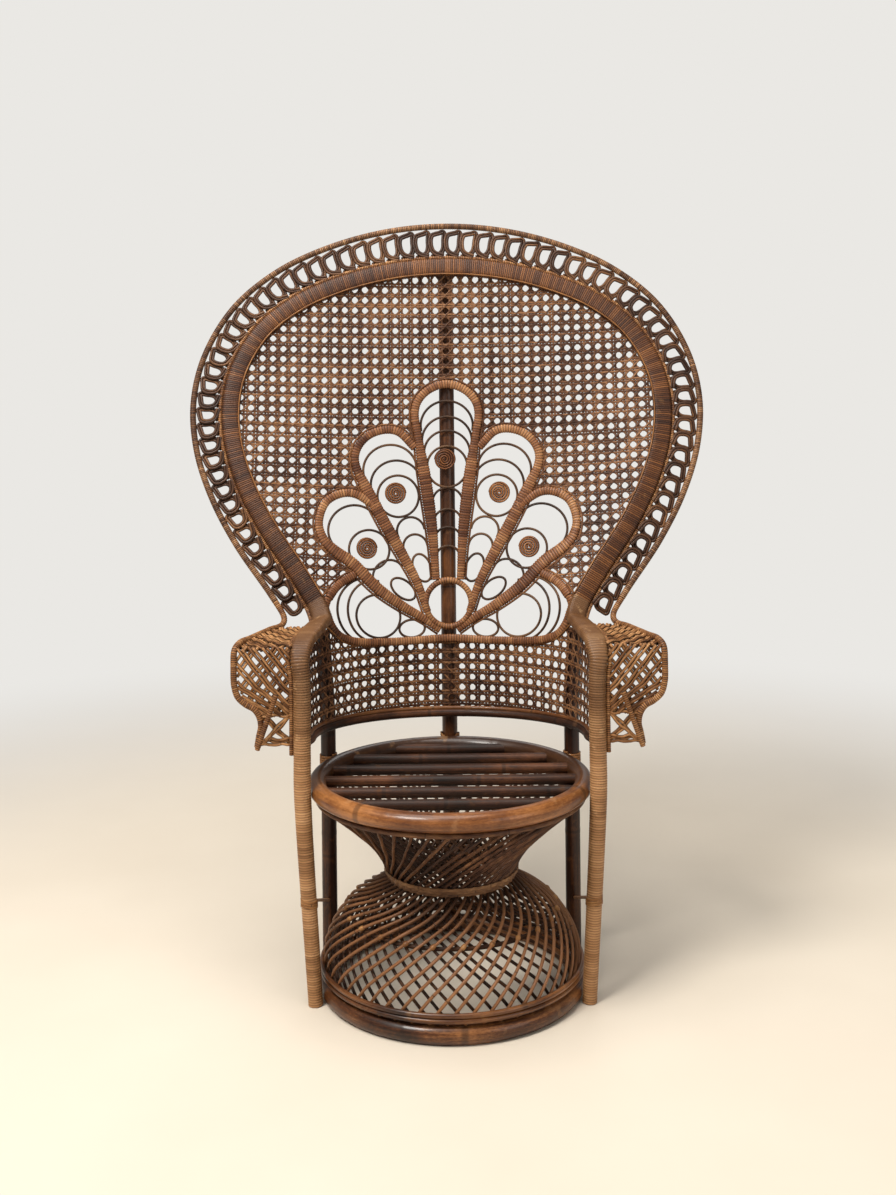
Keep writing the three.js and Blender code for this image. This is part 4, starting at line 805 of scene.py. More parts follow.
motif = {
    "halfWidth": 269, "rise": 531, "railRise": -38.8, "drawn": 1.974, "petalWidth": 18, "spokeWidth": 27,
    "footWidth": 17, "thickness": 13, "railWidth": 17, "rod": 4.4, "inset": 1.2, "hoop": 5.2,
    "corner": 0.75, "groove": 0.1, "rodDrop": 0.5, "spokeFrom": (0.33, 0.52), "footFrom": (0.62, 1.0),
    "openHoop": (-12, 204), "hoopDrift": 0.4, "lifts": {"centre": 1.0, "rail": 0.5, "ring": 2.0},
    "centre": [(0, 1), (0.145, 0.976), (0.23, 0.932), (0.257, 0.883), (0.234, 0.795), (0.178, 0.614),
               (0.13, 0.429), (0.1, 0.225)],
    "middle": [(0.25, 0.745), (0.379, 0.808), (0.483, 0.817), (0.61, 0.797), (0.695, 0.755), (0.729, 0.706),
               (0.714, 0.655), (0.669, 0.608), (0.509, 0.452), (0.372, 0.33), (0.245, 0.209), (0.17, 0.1)],
    "lower": [(0.545, 0.505), (0.721, 0.559), (0.829, 0.559), (0.948, 0.522), (1, 0.435), (0.959, 0.367),
              (0.877, 0.326), (0.743, 0.279), (0.554, 0.186), (0.361, 0.119), (0.193, 0.072), (0.07, 0.03)],
    "lobeTop": [(0.72, 0.238), (0.79, 0.214), (0.855, 0.182), (0.905, 0.135)],
    "lobeFoot": [(0.905, 0.135), (0.922, 0.1), (0.905, 0.07), (0.875, 0.03), (0.82, -0.004), (0.73, -0.02),
                 (0.62, -0.023)],
    "rail": [(0, 0), (0.31, -0.012), (0.62, -0.023)],
    "centreHoops": [(0, 0.831, 0.105, 0.1, 0, 0), (0, 0.772, 0.1, 0.096, 0, 0), (0, 0.724, 0.092, 0.088, 0, 0),
                    (0, 0.669, 0.081, 0.081, 0, 1), (0, 0.531, 0.06, 0.055, 0, 0),
                    (0, 0.452, 0.055, 0.05, 0, 0), (0, 0.386, 0.051, 0.045, 0, 0),
                    (0, 0.316, 0.046, 0.042, 0, 0)],
    "middleHoops": [(0.45, 0.655, 0.107, 0.1, -14, 0), (0.405, 0.6, 0.1, 0.093, -14, 0),
                    (0.388, 0.552, 0.082, 0.082, 0, 1), (0.29, 0.415, 0.055, 0.055, -20, 0),
                    (0.255, 0.353, 0.048, 0.05, -20, 0), (0.205, 0.272, 0.035, 0.056, -20, 1)],
    "lowerHoops": [(0.73, 0.415, 0.1, 0.096, -40, 0), (0.612, 0.338, 0.078, 0.078, 0, 1),
                   (0.465, 0.24, 0.064, 0.056, -45, 0), (0.352, 0.188, 0.033, 0.055, -52, 1)],
    "lobeHoops": [(0.539, 0.079, 0.083, 0.083, 0, 1), (0.577, 0.1, 0.118, 0.095, -90, 0),
                  (0.629, 0.1, 0.125, 0.106, -90, 0), (0.285, 0.036, 0.05, 0.034, -8, 1)],
    "baseRing": (0, 0.134, 0.09),
    "coils": [(-0.02, 0.694, 9.0), (0.405, 0.563, 0.0), (0.627, 0.343, 0.0)], "coilTurns": 4.5,
    "coilPitch": 5.1, "coilReed": 4.9, "coilRows": 26, "coilEye": 0.8, "tuckFrom": 3.0, "tuckIn": 0.45,
    "tuckThin": 0.6,
}


def motifPlace(shares):
    shares = np.asarray(shares, float)
    return np.stack([shares[..., 0] * motif["halfWidth"],
                     motif["railRise"] + shares[..., 1] * motif["rise"]], -1)


def mirroredShares(shares):
    right = np.array(shares, float)
    return np.vstack([right[:0:-1] * (-1, 1), right])


def flatLine(shares, step=3.0, closed=False):
    return evenSteps(curveThrough(motifPlace(shares), closed), step=step, width=2)


def shifted(line, amount):
    tangent = unit(np.gradient(line, axis=0))
    return line + np.stack([tangent[:, 1], -tangent[:, 0]], 1) * amount  # to the right of its way


# A wound pole of the motif, and the thin rod that runs along its outer side
def motifPole(line, width, lift=0.0, rodSide=-1):
    body = shifted(line, -rodSide * motif["inset"]) if rodSide else line
    made = [wound(dishPlace(body, lift), width / 2, motif["thickness"] / 2, dishFacing(body), motifPitch,
                  motif["corner"], motif["groove"])]
    rods = []
    if rodSide:
        apart = np.reshape(width, (-1, 1)) / 2 + motif["rod"] / 2 - motif["inset"]
        rodPlaces = dishPlace(shifted(line, rodSide * apart), lift - motif["rodDrop"])
        rods = [strand(evenSteps(rodPlaces, step=5.0), motif["rod"] / 2, None, forward)]
    return made, rods


def towardsSpoke(share):
    width = blend(motif["petalWidth"], motif["spokeWidth"], ease(share, *motif["spokeFrom"]))
    return blend(width, motif["footWidth"], ease(share, *motif["footFrom"]))


petals = {}
centreLine = flatLine(mirroredShares(motif["centre"]))
spread = np.abs(np.linspace(-1, 1, len(centreLine)))
petals["centre"], petalRods = motifPole(centreLine, towardsSpoke(spread), motif["lifts"]["centre"])
for name in ("middle", "lower"):
    line = flatLine(motif[name])
    body, rods = motifPole(line, towardsSpoke(np.linspace(0, 1, len(line))))
    petals[name] = bothSides(body)
    petalRods += bothSides(rods)
lobe, lobeRods = motifPole(flatLine(motif["lobeTop"]), motif["petalWidth"])
petals["lower"] += bothSides(lobe)
petalRods += bothSides(lobeRods)
polePiece("petalCentre", petals["centre"], petalCane, ["petal_centre"], 16)
for name in ("middle", "lower"):
    polePiece("petals" + name.title(), petals[name], petalCane, nodePair("petal_" + name), 16)
rail, _ = motifPole(flatLine(mirroredShares(motif["rail"])), motif["railWidth"], motif["lifts"]["rail"], 0)
foot, _ = motifPole(flatLine(motif["lobeFoot"]), motif["railWidth"], 0.0, 0)
polePiece("motifRail", rail + bothSides(foot), petalCane, ["motif_rail"], 16)


def motifHoop(side, rise, wide, high, turn, whole):
    start, sweep = (0, 360) if whole else motif["openHoop"]
    along = np.radians(np.linspace(start, start + sweep, 13))
    along = along[:-1] if whole else along
    x, y = np.cos(along) * wide, np.sin(along) * high
    angle = math.radians(turn)
    turnedX = (x * math.cos(angle) - y * math.sin(angle)) * motif["halfWidth"] * motif["drawn"]
    turnedY = (x * math.sin(angle) + y * math.cos(angle)) * motif["rise"]
    line = motifPlace((side, rise)) + np.stack([turnedX, turnedY], 1)
    return evenSteps(curveThrough(line, bool(whole)), step=4.0, width=2), bool(whole)


def hoopReeds(hoops, lift=-1.0):
    reeds = []
    for hoop in hoops:
        line, whole = motifHoop(*hoop)
        places = dishPlace(line, lift + chance.normal(0, motif["hoopDrift"]))
        reeds.append(strand(places, motif["hoop"] / 2, None, dishFacing(line), closed=whole))
    return reeds


hoops = hoopReeds(motif["centreHoops"], -1.5)
for name in ("middleHoops", "lowerHoops", "lobeHoops"):
    hoops += bothSides(hoopReeds(motif[name]))
polePiece("motifHoops", hoops, hoopReed, (), 8)
polePiece("petalRods", petalRods, rodReed, (), 8)
side, rise, radius = motif["baseRing"]
ringPlaces = motifHoop(side, rise, radius, radius, 0, 1)[0]
ringPole = woundRod(dishPlace(ringPlaces, motif["lifts"]["ring"]), motif["thickness"],
                    dishFacing(ringPlaces), motifPitch, 0.09, closed=True)
polePiece("motifBaseRing", [ringPole], petalCane, ["motif_base_ring"], 12)

# Coils of reed inside the round hoops and on the middle post
coilAngles = np.linspace(0, motif["coilTurns"] * 2 * math.pi, int(motif["coilTurns"] * motif["coilRows"]))
coils = []
for side, rise, lift in motif["coils"]:
    centre = dishPlace(motifPlace((side, rise)), lift)
    facing = dishFacing(motifPlace((side, rise)))
    across = unit(np.cross(upward, facing))
    up = np.cross(facing, across)
    # The end is thinned and tucked in
    tuck = ease(coilAngles, coilAngles[-1] - motif["tuckFrom"], coilAngles[-1])
    radius = motif["coilEye"] + (coilAngles / (2 * math.pi) - tuck * motif["tuckIn"]) * motif["coilPitch"]
    line = (centre + np.cos(coilAngles)[:, None] * radius[:, None] * across
            + np.sin(coilAngles)[:, None] * radius[:, None] * up)
    coil = [strand(line, motif["coilReed"] / 2 * (1 - motif["tuckThin"] * tuck), None, facing)]
    coils += coil if abs(side) < 0.1 else bothSides(coil)
polePiece("coils", coils, coilReed,
          ["rosette_centre", "rosette_middle_right", "rosette_middle_left", "rosette_lower_right",
           "rosette_lower_left"], 8)
print("motif made")


# Open caning: pairs upright and level round each opening, and a slanting strand each way between them
weave = {
    "pitch": 21.6, "half": 5.9, "wave": 0.35, "strand": 2.3, "slantStrand": 1.9, "thin": 0.8, "corner": 0.7,
    "step": 3.6, "slantStep": 0.9, "lift": 0.7, "levelLift": 0.25, "slantLift": 0.9, "slantWave": 0.5,
    "drift": 0.35, "fewest": 3, "low": (-440, -60), "high": (440, 760), "underBand": 5,
    "neckEdge": [(0.955, 0.45), (0.925, -0.2), (0.925, -1.02)],
    "windowStep": 12.0, "lobeStep": 10.0, "railStep": 20.0,
    "betweenPetals": [(0, 0.74), (0.25, 0.74), (0.545, 0.5), (0.72, 0.24), (0.62, -0.01)],
}


def weaveLines(low, high, half=weave["half"], wide=weave["strand"]):
    pitch = weave["pitch"]
    straight, diagonal = [], []
    columns = np.arange(math.floor(low[0] / pitch), math.ceil(high[0] / pitch) + 1) * pitch
    levels = np.arange(math.floor(low[1] / pitch), math.ceil(high[1] / pitch) + 1) * pitch
    for own, other, swap in ((columns, levels, False), (levels, columns, True)):
        along = np.arange(other[0] - pitch, other[-1] + pitch, weave["step"])
        swing = weave["wave"] * np.cos(2 * math.pi * along / pitch)
        for middle in own:
            for way in (-1, 1):
                place = middle + way * (half + wide + swing) + chance.normal(0, weave["drift"])
                lift = weave["lift"] * np.sin(2 * math.pi * along / pitch + (math.pi if way > 0 else 0))
                line = np.stack([along, place] if swap else [place, along], 1)
                straight.append((line, lift + weave["levelLift"] * (1 if swap else -1)))
    first = int((low[1] - high[0]) / pitch) - 2
    last = int((high[1] + high[0] - low[0]) / pitch) + 2
    for way in (-1, 1):
        for index in range(first, last + 1):
            x = np.arange(low[0] - pitch, high[0] + pitch, weave["step"] * weave["slantStep"])
            y = way * x + (index + 0.5) * pitch + chance.normal(0, weave["drift"])
            kept = (y > low[1] - pitch) & (y < high[1] + pitch)
            lift = way * weave["slantLift"] + weave["slantWave"] * np.sin(2 * math.pi * x / pitch)
            if kept.sum() > weave["fewest"]:
                diagonal.append((np.stack([x, y], 1)[kept], lift[kept]))
    return straight, diagonal


def laidStrands(lines, kept, lay, facing, wide=weave["strand"]):
    strands = []
    for line, lift in lines:
        inside = kept(line)
        edges = np.flatnonzero(np.diff(np.r_[0, inside.astype(int), 0]))
        for start, end in zip(edges[::2], edges[1::2]):
            if end - start < weave["fewest"]:
                continue
            part = line[start:end]
            strands.append(strand(lay(part, lift[start:end]), wide, weave["thin"], facing(part),
                                  weave["corner"]))
    return strands


caneShares = np.linspace(0, 1, 160)
caneDepth = bandDepth(caneShares) + fan["bandWidth"] / 2 - weave["underBand"]
caneOuter = np.stack(inFromEdge(caneShares, caneDepth), 1)
neckEdge = np.array(weave["neckEdge"]) * (innerSide[0], innerRise[0])
caneOutline = np.vstack([caneOuter[2:-2], neckEdge, (neckEdge * (-1, 1))[::-1]])
windows = [flatLine(mirroredShares(motif["centre"]), weave["windowStep"]),
           motifPlace(mirroredShares(weave["betweenPetals"]))]
lobeOutline = motif["lobeTop"] + motif["lobeFoot"] + motif["rail"][:0:-1] + [(0.2, 0.05)]
for outline, step in ((motif["middle"], weave["windowStep"]), (motif["lower"], weave["windowStep"]),
                      (lobeOutline, weave["lobeStep"])):
    window = flatLine(outline, step)
    windows += [window, window * (-1, 1)]
railAt = flatLine(mirroredShares(motif["rail"]), weave["railStep"])


def fanKept(line):
    kept = insideOutline(line, caneOutline)
    kept &= line[:, 1] > np.interp(line[:, 0], railAt[:, 0], railAt[:, 1])
    for window in windows:
        kept &= ~insideOutline(line, window)
    return kept


straight, diagonal = weaveLines(weave["low"], weave["high"])
levelFrom = len(straight) // 2
polePiece("caningUpright", laidStrands(straight[:levelFrom], fanKept, dishPlace, dishFacing), caneStrand,
          ["fan_caning"], 6)
polePiece("caningLevel", laidStrands(straight[levelFrom:], fanKept, dishPlace, dishFacing), caneStrand,
          (), 6)
polePiece("caningDiagonal", laidStrands(diagonal, fanKept, dishPlace, dishFacing, weave["slantStrand"]),
          caneStrand, (), 6)
print("fan caning made")


# Low wall round the back of the seat, between the front posts
wall = {
    "radius": 265.25, "endAngle": -18.52, "backHeight": 444, "frontHeight": 470,
    "rim": 16, "rod": 8, "rimRadius": 259, "rodRadius": 260.6, "half": 5.3, "strand": 2.6, "intoPost": 19.0,
    "flare": 12, "rearAngle": 30.4, "edge": (2.6, 2.0), "edgeDrop": 1.5, "edgeLift": 1.0, "reach": (440, 660),
    "rimShare": 0.43, "rodShare": 0.4, "span": (-0.004, 1.004), "intoPostFrom": (0.43, 0.504),
    "caningSpan": (0.012, 0.988), "edgeSpan": (0.006, 0.994), "aboveRim": 9, "rimJoints": 260.0,
    "rodJoints": 190.0,
    "top": [(-18.5, 642), (4, 645), (17, 648), (25, 651), (29, 648), (34, 628), (38, 613), (43, 603),
            (52, 595), (65, 593), (90, 591)],
}
wallSweep = 180 - 2 * wall["endAngle"]
endSine = math.sin(math.radians(wall["endAngle"]))


def wallForward(share):
    sine = np.sin(np.radians(wall["endAngle"] + wallSweep * share))
    return (1 - sine) / (1 - endSine)


def rimHeight(share):
    return blend(wall["backHeight"], wall["frontHeight"], wallForward(share))


def wallLean(share, height):
    angle = wall["endAngle"] + wallSweep * share
    near = np.minimum(np.abs(angle - wall["rearAngle"]), np.abs(180 - angle - wall["rearAngle"]))
    upThere = ease(height, wall["frontHeight"], post["cornerHeight"])
    return wall["flare"] * (1 - ease(near, 0, wall["rearAngle"])) * upThere


wallShares = np.linspace(*wall["span"], 240)
wallAngles = wall["endAngle"] + wallSweep * wallShares
intoPost = wall["intoPost"] * ease(np.abs(wallShares - 0.5), *wall["intoPostFrom"])
rimWall = polar(wall["rimRadius"] + intoPost, wallAngles, rimHeight(wallShares))
rodHeight = rimHeight(wallShares) + wall["rim"] * wall["rimShare"] + wall["rod"] * wall["rodShare"]
rodWall = polar(wall["rodRadius"] + intoPost, wallAngles, rodHeight)
# the wall rim takes the near-black finish, which paints the shade under the rod
polePiece("wallRim", [rattan(rimWall, wall["rim"], upward, wall["rimJoints"])], blackPole,
          ["wall_rim"], 16)
polePiece("wallRod", [rattan(rodWall, wall["rod"], upward, wall["rodJoints"])], rodPole,
          ["wall_rod"], 12)

arcLength = math.radians(wallSweep) * wall["radius"]


def wallTop(share):
    angle = wall["endAngle"] + wallSweep * share
    return np.interp(np.minimum(angle, 180 - angle), *np.transpose(wall["top"]))


def onWall(part, lift):
    share = part[:, 0] / arcLength
    return polar(wall["radius"] + wallLean(share, part[:, 1]) - lift, wall["endAngle"] + wallSweep * share,
                 part[:, 1])


def wallOut(part):
    return -outFromAxis(onWall(part, 0))


def wallKept(line):
    share = line[:, 0] / arcLength
    inside = (share > wall["caningSpan"][0]) & (share < wall["caningSpan"][1])
    return inside & (line[:, 1] > rimHeight(share) + wall["aboveRim"]) & (line[:, 1] < wallTop(share))


straight, diagonal = weaveLines((0, wall["reach"][0]), (arcLength, wall["reach"][1]), wall["half"],
                                wall["strand"])
polePiece("wallCaning", laidStrands(straight, wallKept, onWall, wallOut, wall["strand"]), wallStrand,
          ["wall_caning"], 6)
polePiece("wallDiagonals", laidStrands(diagonal, wallKept, onWall, wallOut, weave["slantStrand"]),
          wallStrand, (), 6)
topShares = np.linspace(*wall["edgeSpan"], 240)
topEdge = onWall(np.stack([topShares * arcLength, wallTop(topShares) - wall["edgeDrop"]], 1),
                 wall["edgeLift"])
polePiece("wallEdge", [strand(evenSteps(topEdge, step=6.0), *wall["edge"], upward)], edgeCane,
          (), 8)

# Rear posts and their bindings to the seat ring
rear = {"radius": 282.3, "thickness": 30, "heights": (0, 380, 444, 470, 561, 636), "centreDepth": 283.3,
        "centreThickness": 32, "bend": 560, "binding": 26, "bindingRadius": 16.5, "centreBindingRadius": 17.6,
        "crossedRadius": 19.4, "crossed": (8, 4.2, 1.1), "crossedLean": 0.75, "bendReach": 48,
        "joints": 240.0, "centreJoints": 160.0}
rearShare = (wall["rearAngle"] - wall["endAngle"]) / wallSweep
heights = np.array(rear["heights"], float)
rearLine = polar(rear["radius"] + wallLean(rearShare, heights), wall["rearAngle"], heights)
rearPosts = bothSides([rattan(curveThrough(rearLine), rear["thickness"], frontward, rear["joints"])])
polePiece("rearPosts", rearPosts, rearPole, nodePair("rear_post"), 20)
bend = np.array([0, rear["centreDepth"], rear["bend"]], float)
topPlace = fanPlace(0.0, bandTopRise + fan["bandWidth"] / 4, -dish["postBack"])
leanWay = unit(topPlace - bend)
centreLine = curveThrough([(0, rear["centreDepth"], 0), (0, rear["centreDepth"], seat["height"]),
                           bend - (0, 0, rear["bendReach"]), bend + leanWay * rear["bendReach"], topPlace])
centrePost = rattan(centreLine, rear["centreThickness"], frontward, rear["centreJoints"])
polePiece("centrePost", [centrePost], centrePole, ["rear_post_centre"], 20)


turnShape = {"rows": 26, "share": 0.46, "corner": 0.6}


# Flat cane wound round a pole in a close coil
def binding(middle, radius, height, width=4.6, thick=1.2, lean=0.0):
    turns = height / width
    angles = np.linspace(0, turns * 360, int(turns * turnShape["rows"]))
    rise = np.linspace(-height / 2, height / 2, len(angles))
    offset = polar(radius, angles, rise)
    offset[:, 2] += lean * offset[:, 0]
    line = np.asarray(middle, float) + offset
    return strand(line, width * turnShape["share"], thick, outFromAxis(offset), turnShape["corner"])


sideJoint = polar(rear["radius"], wall["rearAngle"], seat["height"])
centreJoint = (0, rear["centreDepth"], seat["height"])
bindings = bothSides([binding(sideJoint, rear["bindingRadius"], rear["binding"])])
bindings.append(binding(centreJoint, rear["centreBindingRadius"], rear["binding"]))
for lean in (-rear["crossedLean"], rear["crossedLean"]):  # crossed turns on the middle post
    bindings.append(binding(centreJoint, rear["crossedRadius"], *rear["crossed"], lean))
polePiece("seatBindings", bindings, edgeCane,
          ["seat_binding_right", "seat_binding_left", "seat_binding_centre"], 8)

# Ties from the front legs to the rear legs, with the turns that hold them
tie = {"front": 190, "rear": 100, "thickness": 6, "frontStart": 16.6, "rearEnd": 16.2, "turnRadius": 14.9,
       "tone": 0.7, "turnDrop": 4, "turns": (16, 4.8, 1.0, 0.1)}
frontTie = np.array([blend(post["footSide"], post["side"], tie["front"] / seat["height"]), -post["depth"],
                     tie["front"]])
rearTie = polar(rear["radius"], wall["rearAngle"], tie["rear"])
tieWay = unit(rearTie - frontTie)
tieEnds = np.array([frontTie + tieWay * tie["frontStart"], rearTie - tieWay * tie["rearEnd"]])
tieStrands = [strand(evenSteps(tieEnds, step=6.0), tie["thickness"] / 2, None, upward, tone=tie["tone"]),
              binding(frontTie - (0, 0, tie["turnDrop"]), tie["turnRadius"], *tie["turns"])]
polePiece("legTies", bothSides(tieStrands), edgeCane, nodePair("leg_tie"), 8)
print("wall and posts made")


# Arms: a rim pole bent out and down from the fan, lattice between it and the arm top, and a strut
arm = {
    "trimSide": 294.324, "width": 97, "rim": 12, "strut": 9.6, "tailHeight": 462, "frontDepth": -93,
    "rimLine": [(0.251, 1, 0.985), (0.521, 0.835, 0.99), (0.658, 0.587, 1), (0.799, 0.298, 1.01),
                (0.924, 0.1, 1.01), (0.985, 0.02, 0.96), (0.997, 0, 0.79), (0.985, 0, 0.62), (0.916, 0, 0.515),
                (0.771, 0, 0.447), (0.626, 0, 0.405), (0.533, 0, 0.34), (0.493, 0, 0.24),
                (0.533, 0, 0.137), (0.573, 0, 0.02)],
    "face": [(0.97, 1), (0.95, 0.8), (0.93, 0.6), (0.76, 0.46), (0.5, 0.34), (0.44, 0.2), (0.5, 0.06)],
    "spacing": 27.0, "faceHeight": 190.0, "topLength": 225.0, "reed": 3.0, "apart": 3.1, "tail": 0.3,
    "strutEnds": [(0.19, 0.55), (0.553, 0.03)], "strutAhead": 12.5,
    "rimFacing": (0.2, -0.3, 1), "softenReach": 12.0, "softenShare": 0.5, "softenTimes": 30, "under": 3.5,
    "topRimShares": (0.355, 0.03), "topFrontInset": 8, "topRearInset": 24, "topNarrowing": 19,
    "past": 0.06, "swing": 2.6, "swingAt": (0, 0.35, 0.7, 1), "slant": 1.4, "over": 1.7, "wave": 1.4,
    "deep": 0.8, "fewest": 4, "sway": 0.012, "tailWave": 1.2,
    "tails": [(0.33, 0.03, 1.5), (0.29, 0.0, 1.5), (0.02, 0.3, -1.5), (0.06, 0.35, -1.5), (0.0, 0.0, 2.5),
              (0.03, 0.035, -0.5), (0.06, 0.06, 1.5), (0.33, 0.33, 2.0)],
}


def armPlace(out, back, up):
    return np.stack(np.broadcast_arrays(arm["trimSide"] + out * arm["width"],
                                        blend(arm["frontDepth"], fan["neckDepth"], back),
                                        blend(arm["tailHeight"], post["cornerHeight"], up)), -1)


armRimLine = curveThrough([armPlace(*shares) for shares in arm["rimLine"]])
rimToArm = np.vstack([rimLine[-30:-1:14], curveThrough([rimLine[-2], armRimLine[curveRows // 2]]),
                      armRimLine[curveRows:]])
armRimWhole = evenSteps(curveThrough(rimToArm[::6], fine=8), step=3.0)
turnAt = int(np.argmin(np.linalg.norm(armRimWhole - rimLine[-2], axis=1)))
soften = np.exp(-((np.arange(len(armRimWhole)) - turnAt) / arm["softenReach"]) ** 2)[1:-1, None]
soften = soften * arm["softenShare"]
for _ in range(arm["softenTimes"]):  # an even bend where the fan's rim turns into the arm
    midway = (armRimWhole[:-2] + armRimWhole[2:]) / 2
    armRimWhole[1:-1] = blend(armRimWhole[1:-1], midway, soften)
armRim = woundRod(armRimWhole, arm["rim"], arm["rimFacing"], rimPitch)
polePiece("armRims", bothSides([armRim]), trimCane, nodePair("arm_rim"), 12)
faceShares = np.array(arm["face"])[::-1]


def facePlace(out, up, ahead=0.0):
    reach = np.interp(up, np.linspace(0, 1, len(faceShares)), faceShares[:, 0])
    height = np.interp(up, np.linspace(0, 1, len(faceShares)), faceShares[:, 1])
    return armPlace(out * reach, 0.0, height) + np.stack(
        np.broadcast_arrays(0.0 * out, arm["under"] - ahead, 0.0), -1)


def topPlaceOf(out, back, lift=0.0):
    last = len(armRimLine) - 1
    rimAt = armRimLine[np.clip((blend(*arm["topRimShares"], back) * last).astype(int), 0, last)]
    depth = blend(arm["frontDepth"] + arm["topFrontInset"], fan["neckDepth"] - arm["topRearInset"], back)
    side = blend(arm["trimSide"] - arm["topNarrowing"] * back, rimAt[..., 0], out)
    height = blend(post["cornerHeight"], rimAt[..., 2], out) - arm["under"] + lift
    return np.stack([side, depth, height], -1)


# Double reeds that cross at a slant, each over one and under the next
def crossings(length, laid, facing, lowest=0.0):
    made = []
    out = np.linspace(-arm["past"], 1, 25)
    rise = arm["width"] / length
    step = arm["spacing"] / length
    for start in np.arange(-rise, 1 + rise, step):
        for way in (-1, 1):
            swing = chance.normal(0, arm["swing"], 4) / length  # no two bands run quite alike
            for apart in (-arm["apart"], arm["apart"]):
                up = start + way * rise * (out - 0.5) + rise / 2 + apart * arm["slant"] / length
                up = up + np.interp(out, arm["swingAt"], swing)
                wave = arm["wave"] * np.sin(out * math.pi * 2 * arm["width"] / arm["spacing"])
                lift = way * arm["over"] + wave
                kept = np.flatnonzero((up > lowest) & (up < 1))
                if len(kept) > arm["fewest"]:
                    line = laid(out[kept], up[kept], lift[kept])
                    made.append(strand(line, arm["reed"], arm["reed"] * arm["deep"], facing))
    return made


lattice = crossings(arm["faceHeight"], facePlace, frontward, arm["tail"])
out = np.linspace(-arm["past"], 1, 15)
for start, end, lift in arm["tails"]:  # the open tail and its woven foot
    up = blend(start, end, out) + arm["sway"] * np.sin(out * 9 + start * 30)
    line = facePlace(out, up, lift + arm["tailWave"] * np.sin(out * 16))
    lattice.append(strand(line, arm["reed"], arm["reed"] * arm["deep"], frontward))
polePiece("armFaces", bothSides(lattice), armReed, nodePair("arm_front_lattice"), 6)
lattice = crossings(arm["topLength"], topPlaceOf, upward)
polePiece("armTops", bothSides(lattice), armReed, nodePair("arm_top_lattice"), 6)
strutLine = np.array([armPlace(out, 0.0, up) for out, up in arm["strutEnds"]])
strutLine = evenSteps(strutLine - (0, arm["strutAhead"], 0), step=3.0)
strutPole = woundRod(strutLine, arm["strut"], frontward, rimPitch, 0.09)
polePiece("armStruts", bothSides([strutPole]), trimCane, nodePair("arm_strut"), 10)
print("arms made")


# Pale floor, soft light and the camera

stageSettings = {"floorReach": 9.0, "floorDrop": 0.0005, "floorTone": (219, 209, 194),
                 "floorPatch": (211, 200, 184),
                 "worldTone": (234, 232, 228), "worldStrength": 1.0, "lightStrength": 0.27,
                 "fadeFrom": 0.9, "fadeTo": 3.2,
                 "lights": [("key", (-1.7, -2.0, 3.7), (0, 0, 0.7), 1.5, 168.0, (1, 0.96, 0.9)),
                            ("top", (-0.3, -0.5, 3.6), (0, 0, 0.5), 2.4, 82.0, (1, 0.965, 0.91)),
                            ("fill", (2.6, -2.4, 1.6), (0, 0, 0.7), 2.2, 26.0, (1, 0.97, 0.93)),
                            ("back", (0.6, 2.8, 2.6), (0, 0, 0.8), 2.0, 22.0, (1, 1, 1))]}
floorMesh = bmesh.new()
bmesh.ops.create_grid(floorMesh, x_segments=2, y_segments=2, size=stageSettings["floorReach"])
bmesh.ops.translate(floorMesh, verts=floorMesh.verts, vec=(0, 0, cadBox[0][2] - stageSettings["floorDrop"]))
floorData = bpy.data.meshes.new("floor")
floorMesh.to_mesh(floorData)
floorMesh.free()
floor = bpy.data.objects.new("floor", floorData)
bpy.context.scene.collection.objects.link(floor)
floorFinish = Finish("floor_plaster")
soft = floorFinish.noise(floorFinish.objectPlace(), 3.0, 4.0)
floorColour = floorFinish.mix(soft, toLight(stageSettings["floorTone"]), toLight(stageSettings["floorPatch"]))
floorData.materials.append(floorFinish.finish(floorColour, 0.7))
backdrop = toLight(stageSettings["worldTone"])
away = floorFinish.signal("ShaderNodeVectorMath", {"operation": "LENGTH"}, {0: floorFinish.objectPlace()},
                          "Value").over(stageSettings["fadeFrom"], stageSettings["fadeTo"])
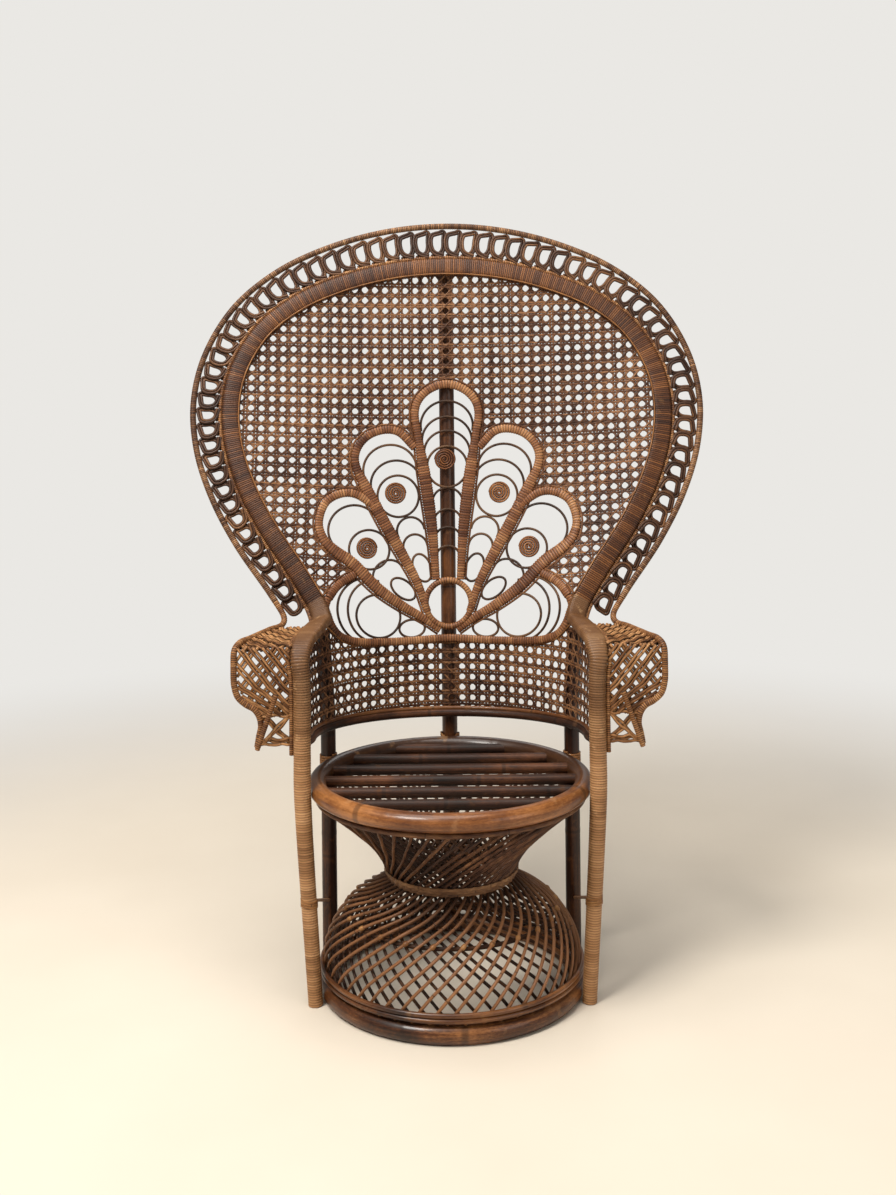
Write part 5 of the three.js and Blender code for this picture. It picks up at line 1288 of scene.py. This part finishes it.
glow = floorFinish.signal("ShaderNodeEmission", None, {"Color": backdrop,
                                                       "Strength": stageSettings["worldStrength"]})
plain = Signal(floorFinish, floorFinish.shader.outputs["BSDF"])
faded = floorFinish.signal("ShaderNodeMixShader", None, {0: away, 1: plain, 2: glow})
floorFinish.feed(floorFinish.tree.nodes["Material Output"].inputs["Surface"], faded)

world = bpy.data.worlds.new("studio")
bpy.context.scene.world = world
world.use_nodes = True
background = world.node_tree.nodes["Background"]
background.inputs["Color"].default_value = backdrop
paths = world.node_tree.nodes.new("ShaderNodeLightPath")
strength = world.node_tree.nodes.new("ShaderNodeMapRange")  # what is seen is brighter than what it lights
strength.inputs["To Min"].default_value = stageSettings["lightStrength"]
strength.inputs["To Max"].default_value = stageSettings["worldStrength"]
world.node_tree.links.new(paths.outputs["Is Camera Ray"], strength.inputs["Value"])
world.node_tree.links.new(strength.outputs["Result"], background.inputs["Strength"])


def softLight(name, place, target, size, power, colour):
    light = bpy.data.lights.new(name, "AREA")
    light.shape, light.size, light.energy, light.color = "DISK", size, power, colour
    lamp = bpy.data.objects.new(name, light)
    way = np.array(target, float) - np.array(place, float)
    lamp.location = place
    pitch = math.atan2(math.hypot(way[0], way[1]), -way[2])
    lamp.rotation_euler = (pitch, 0, math.atan2(way[1], way[0]) - math.pi / 2)
    bpy.context.scene.collection.objects.link(lamp)


for light in stageSettings["lights"]:
    softLight(*light)

view = {"distance": 2.37, "height": 1.0775, "lens": 37.84, "roll": 0.6, "shiftX": 0.0012, "shiftY": -0.157}
camera = bpy.data.cameras.new("camera")
camera.lens, camera.sensor_width = view["lens"], 36
camera.shift_x, camera.shift_y = view["shiftX"], view["shiftY"]
viewer = bpy.data.objects.new("camera", camera)
viewer.location = (0, -view["distance"] + seatMiddle[1], view["height"])
viewer.rotation_euler = (math.pi / 2, math.radians(view["roll"]), 0)
bpy.context.scene.collection.objects.link(viewer)
bpy.context.scene.camera = viewer
bpy.context.scene.view_settings.view_transform = "Standard"
print("stage made")
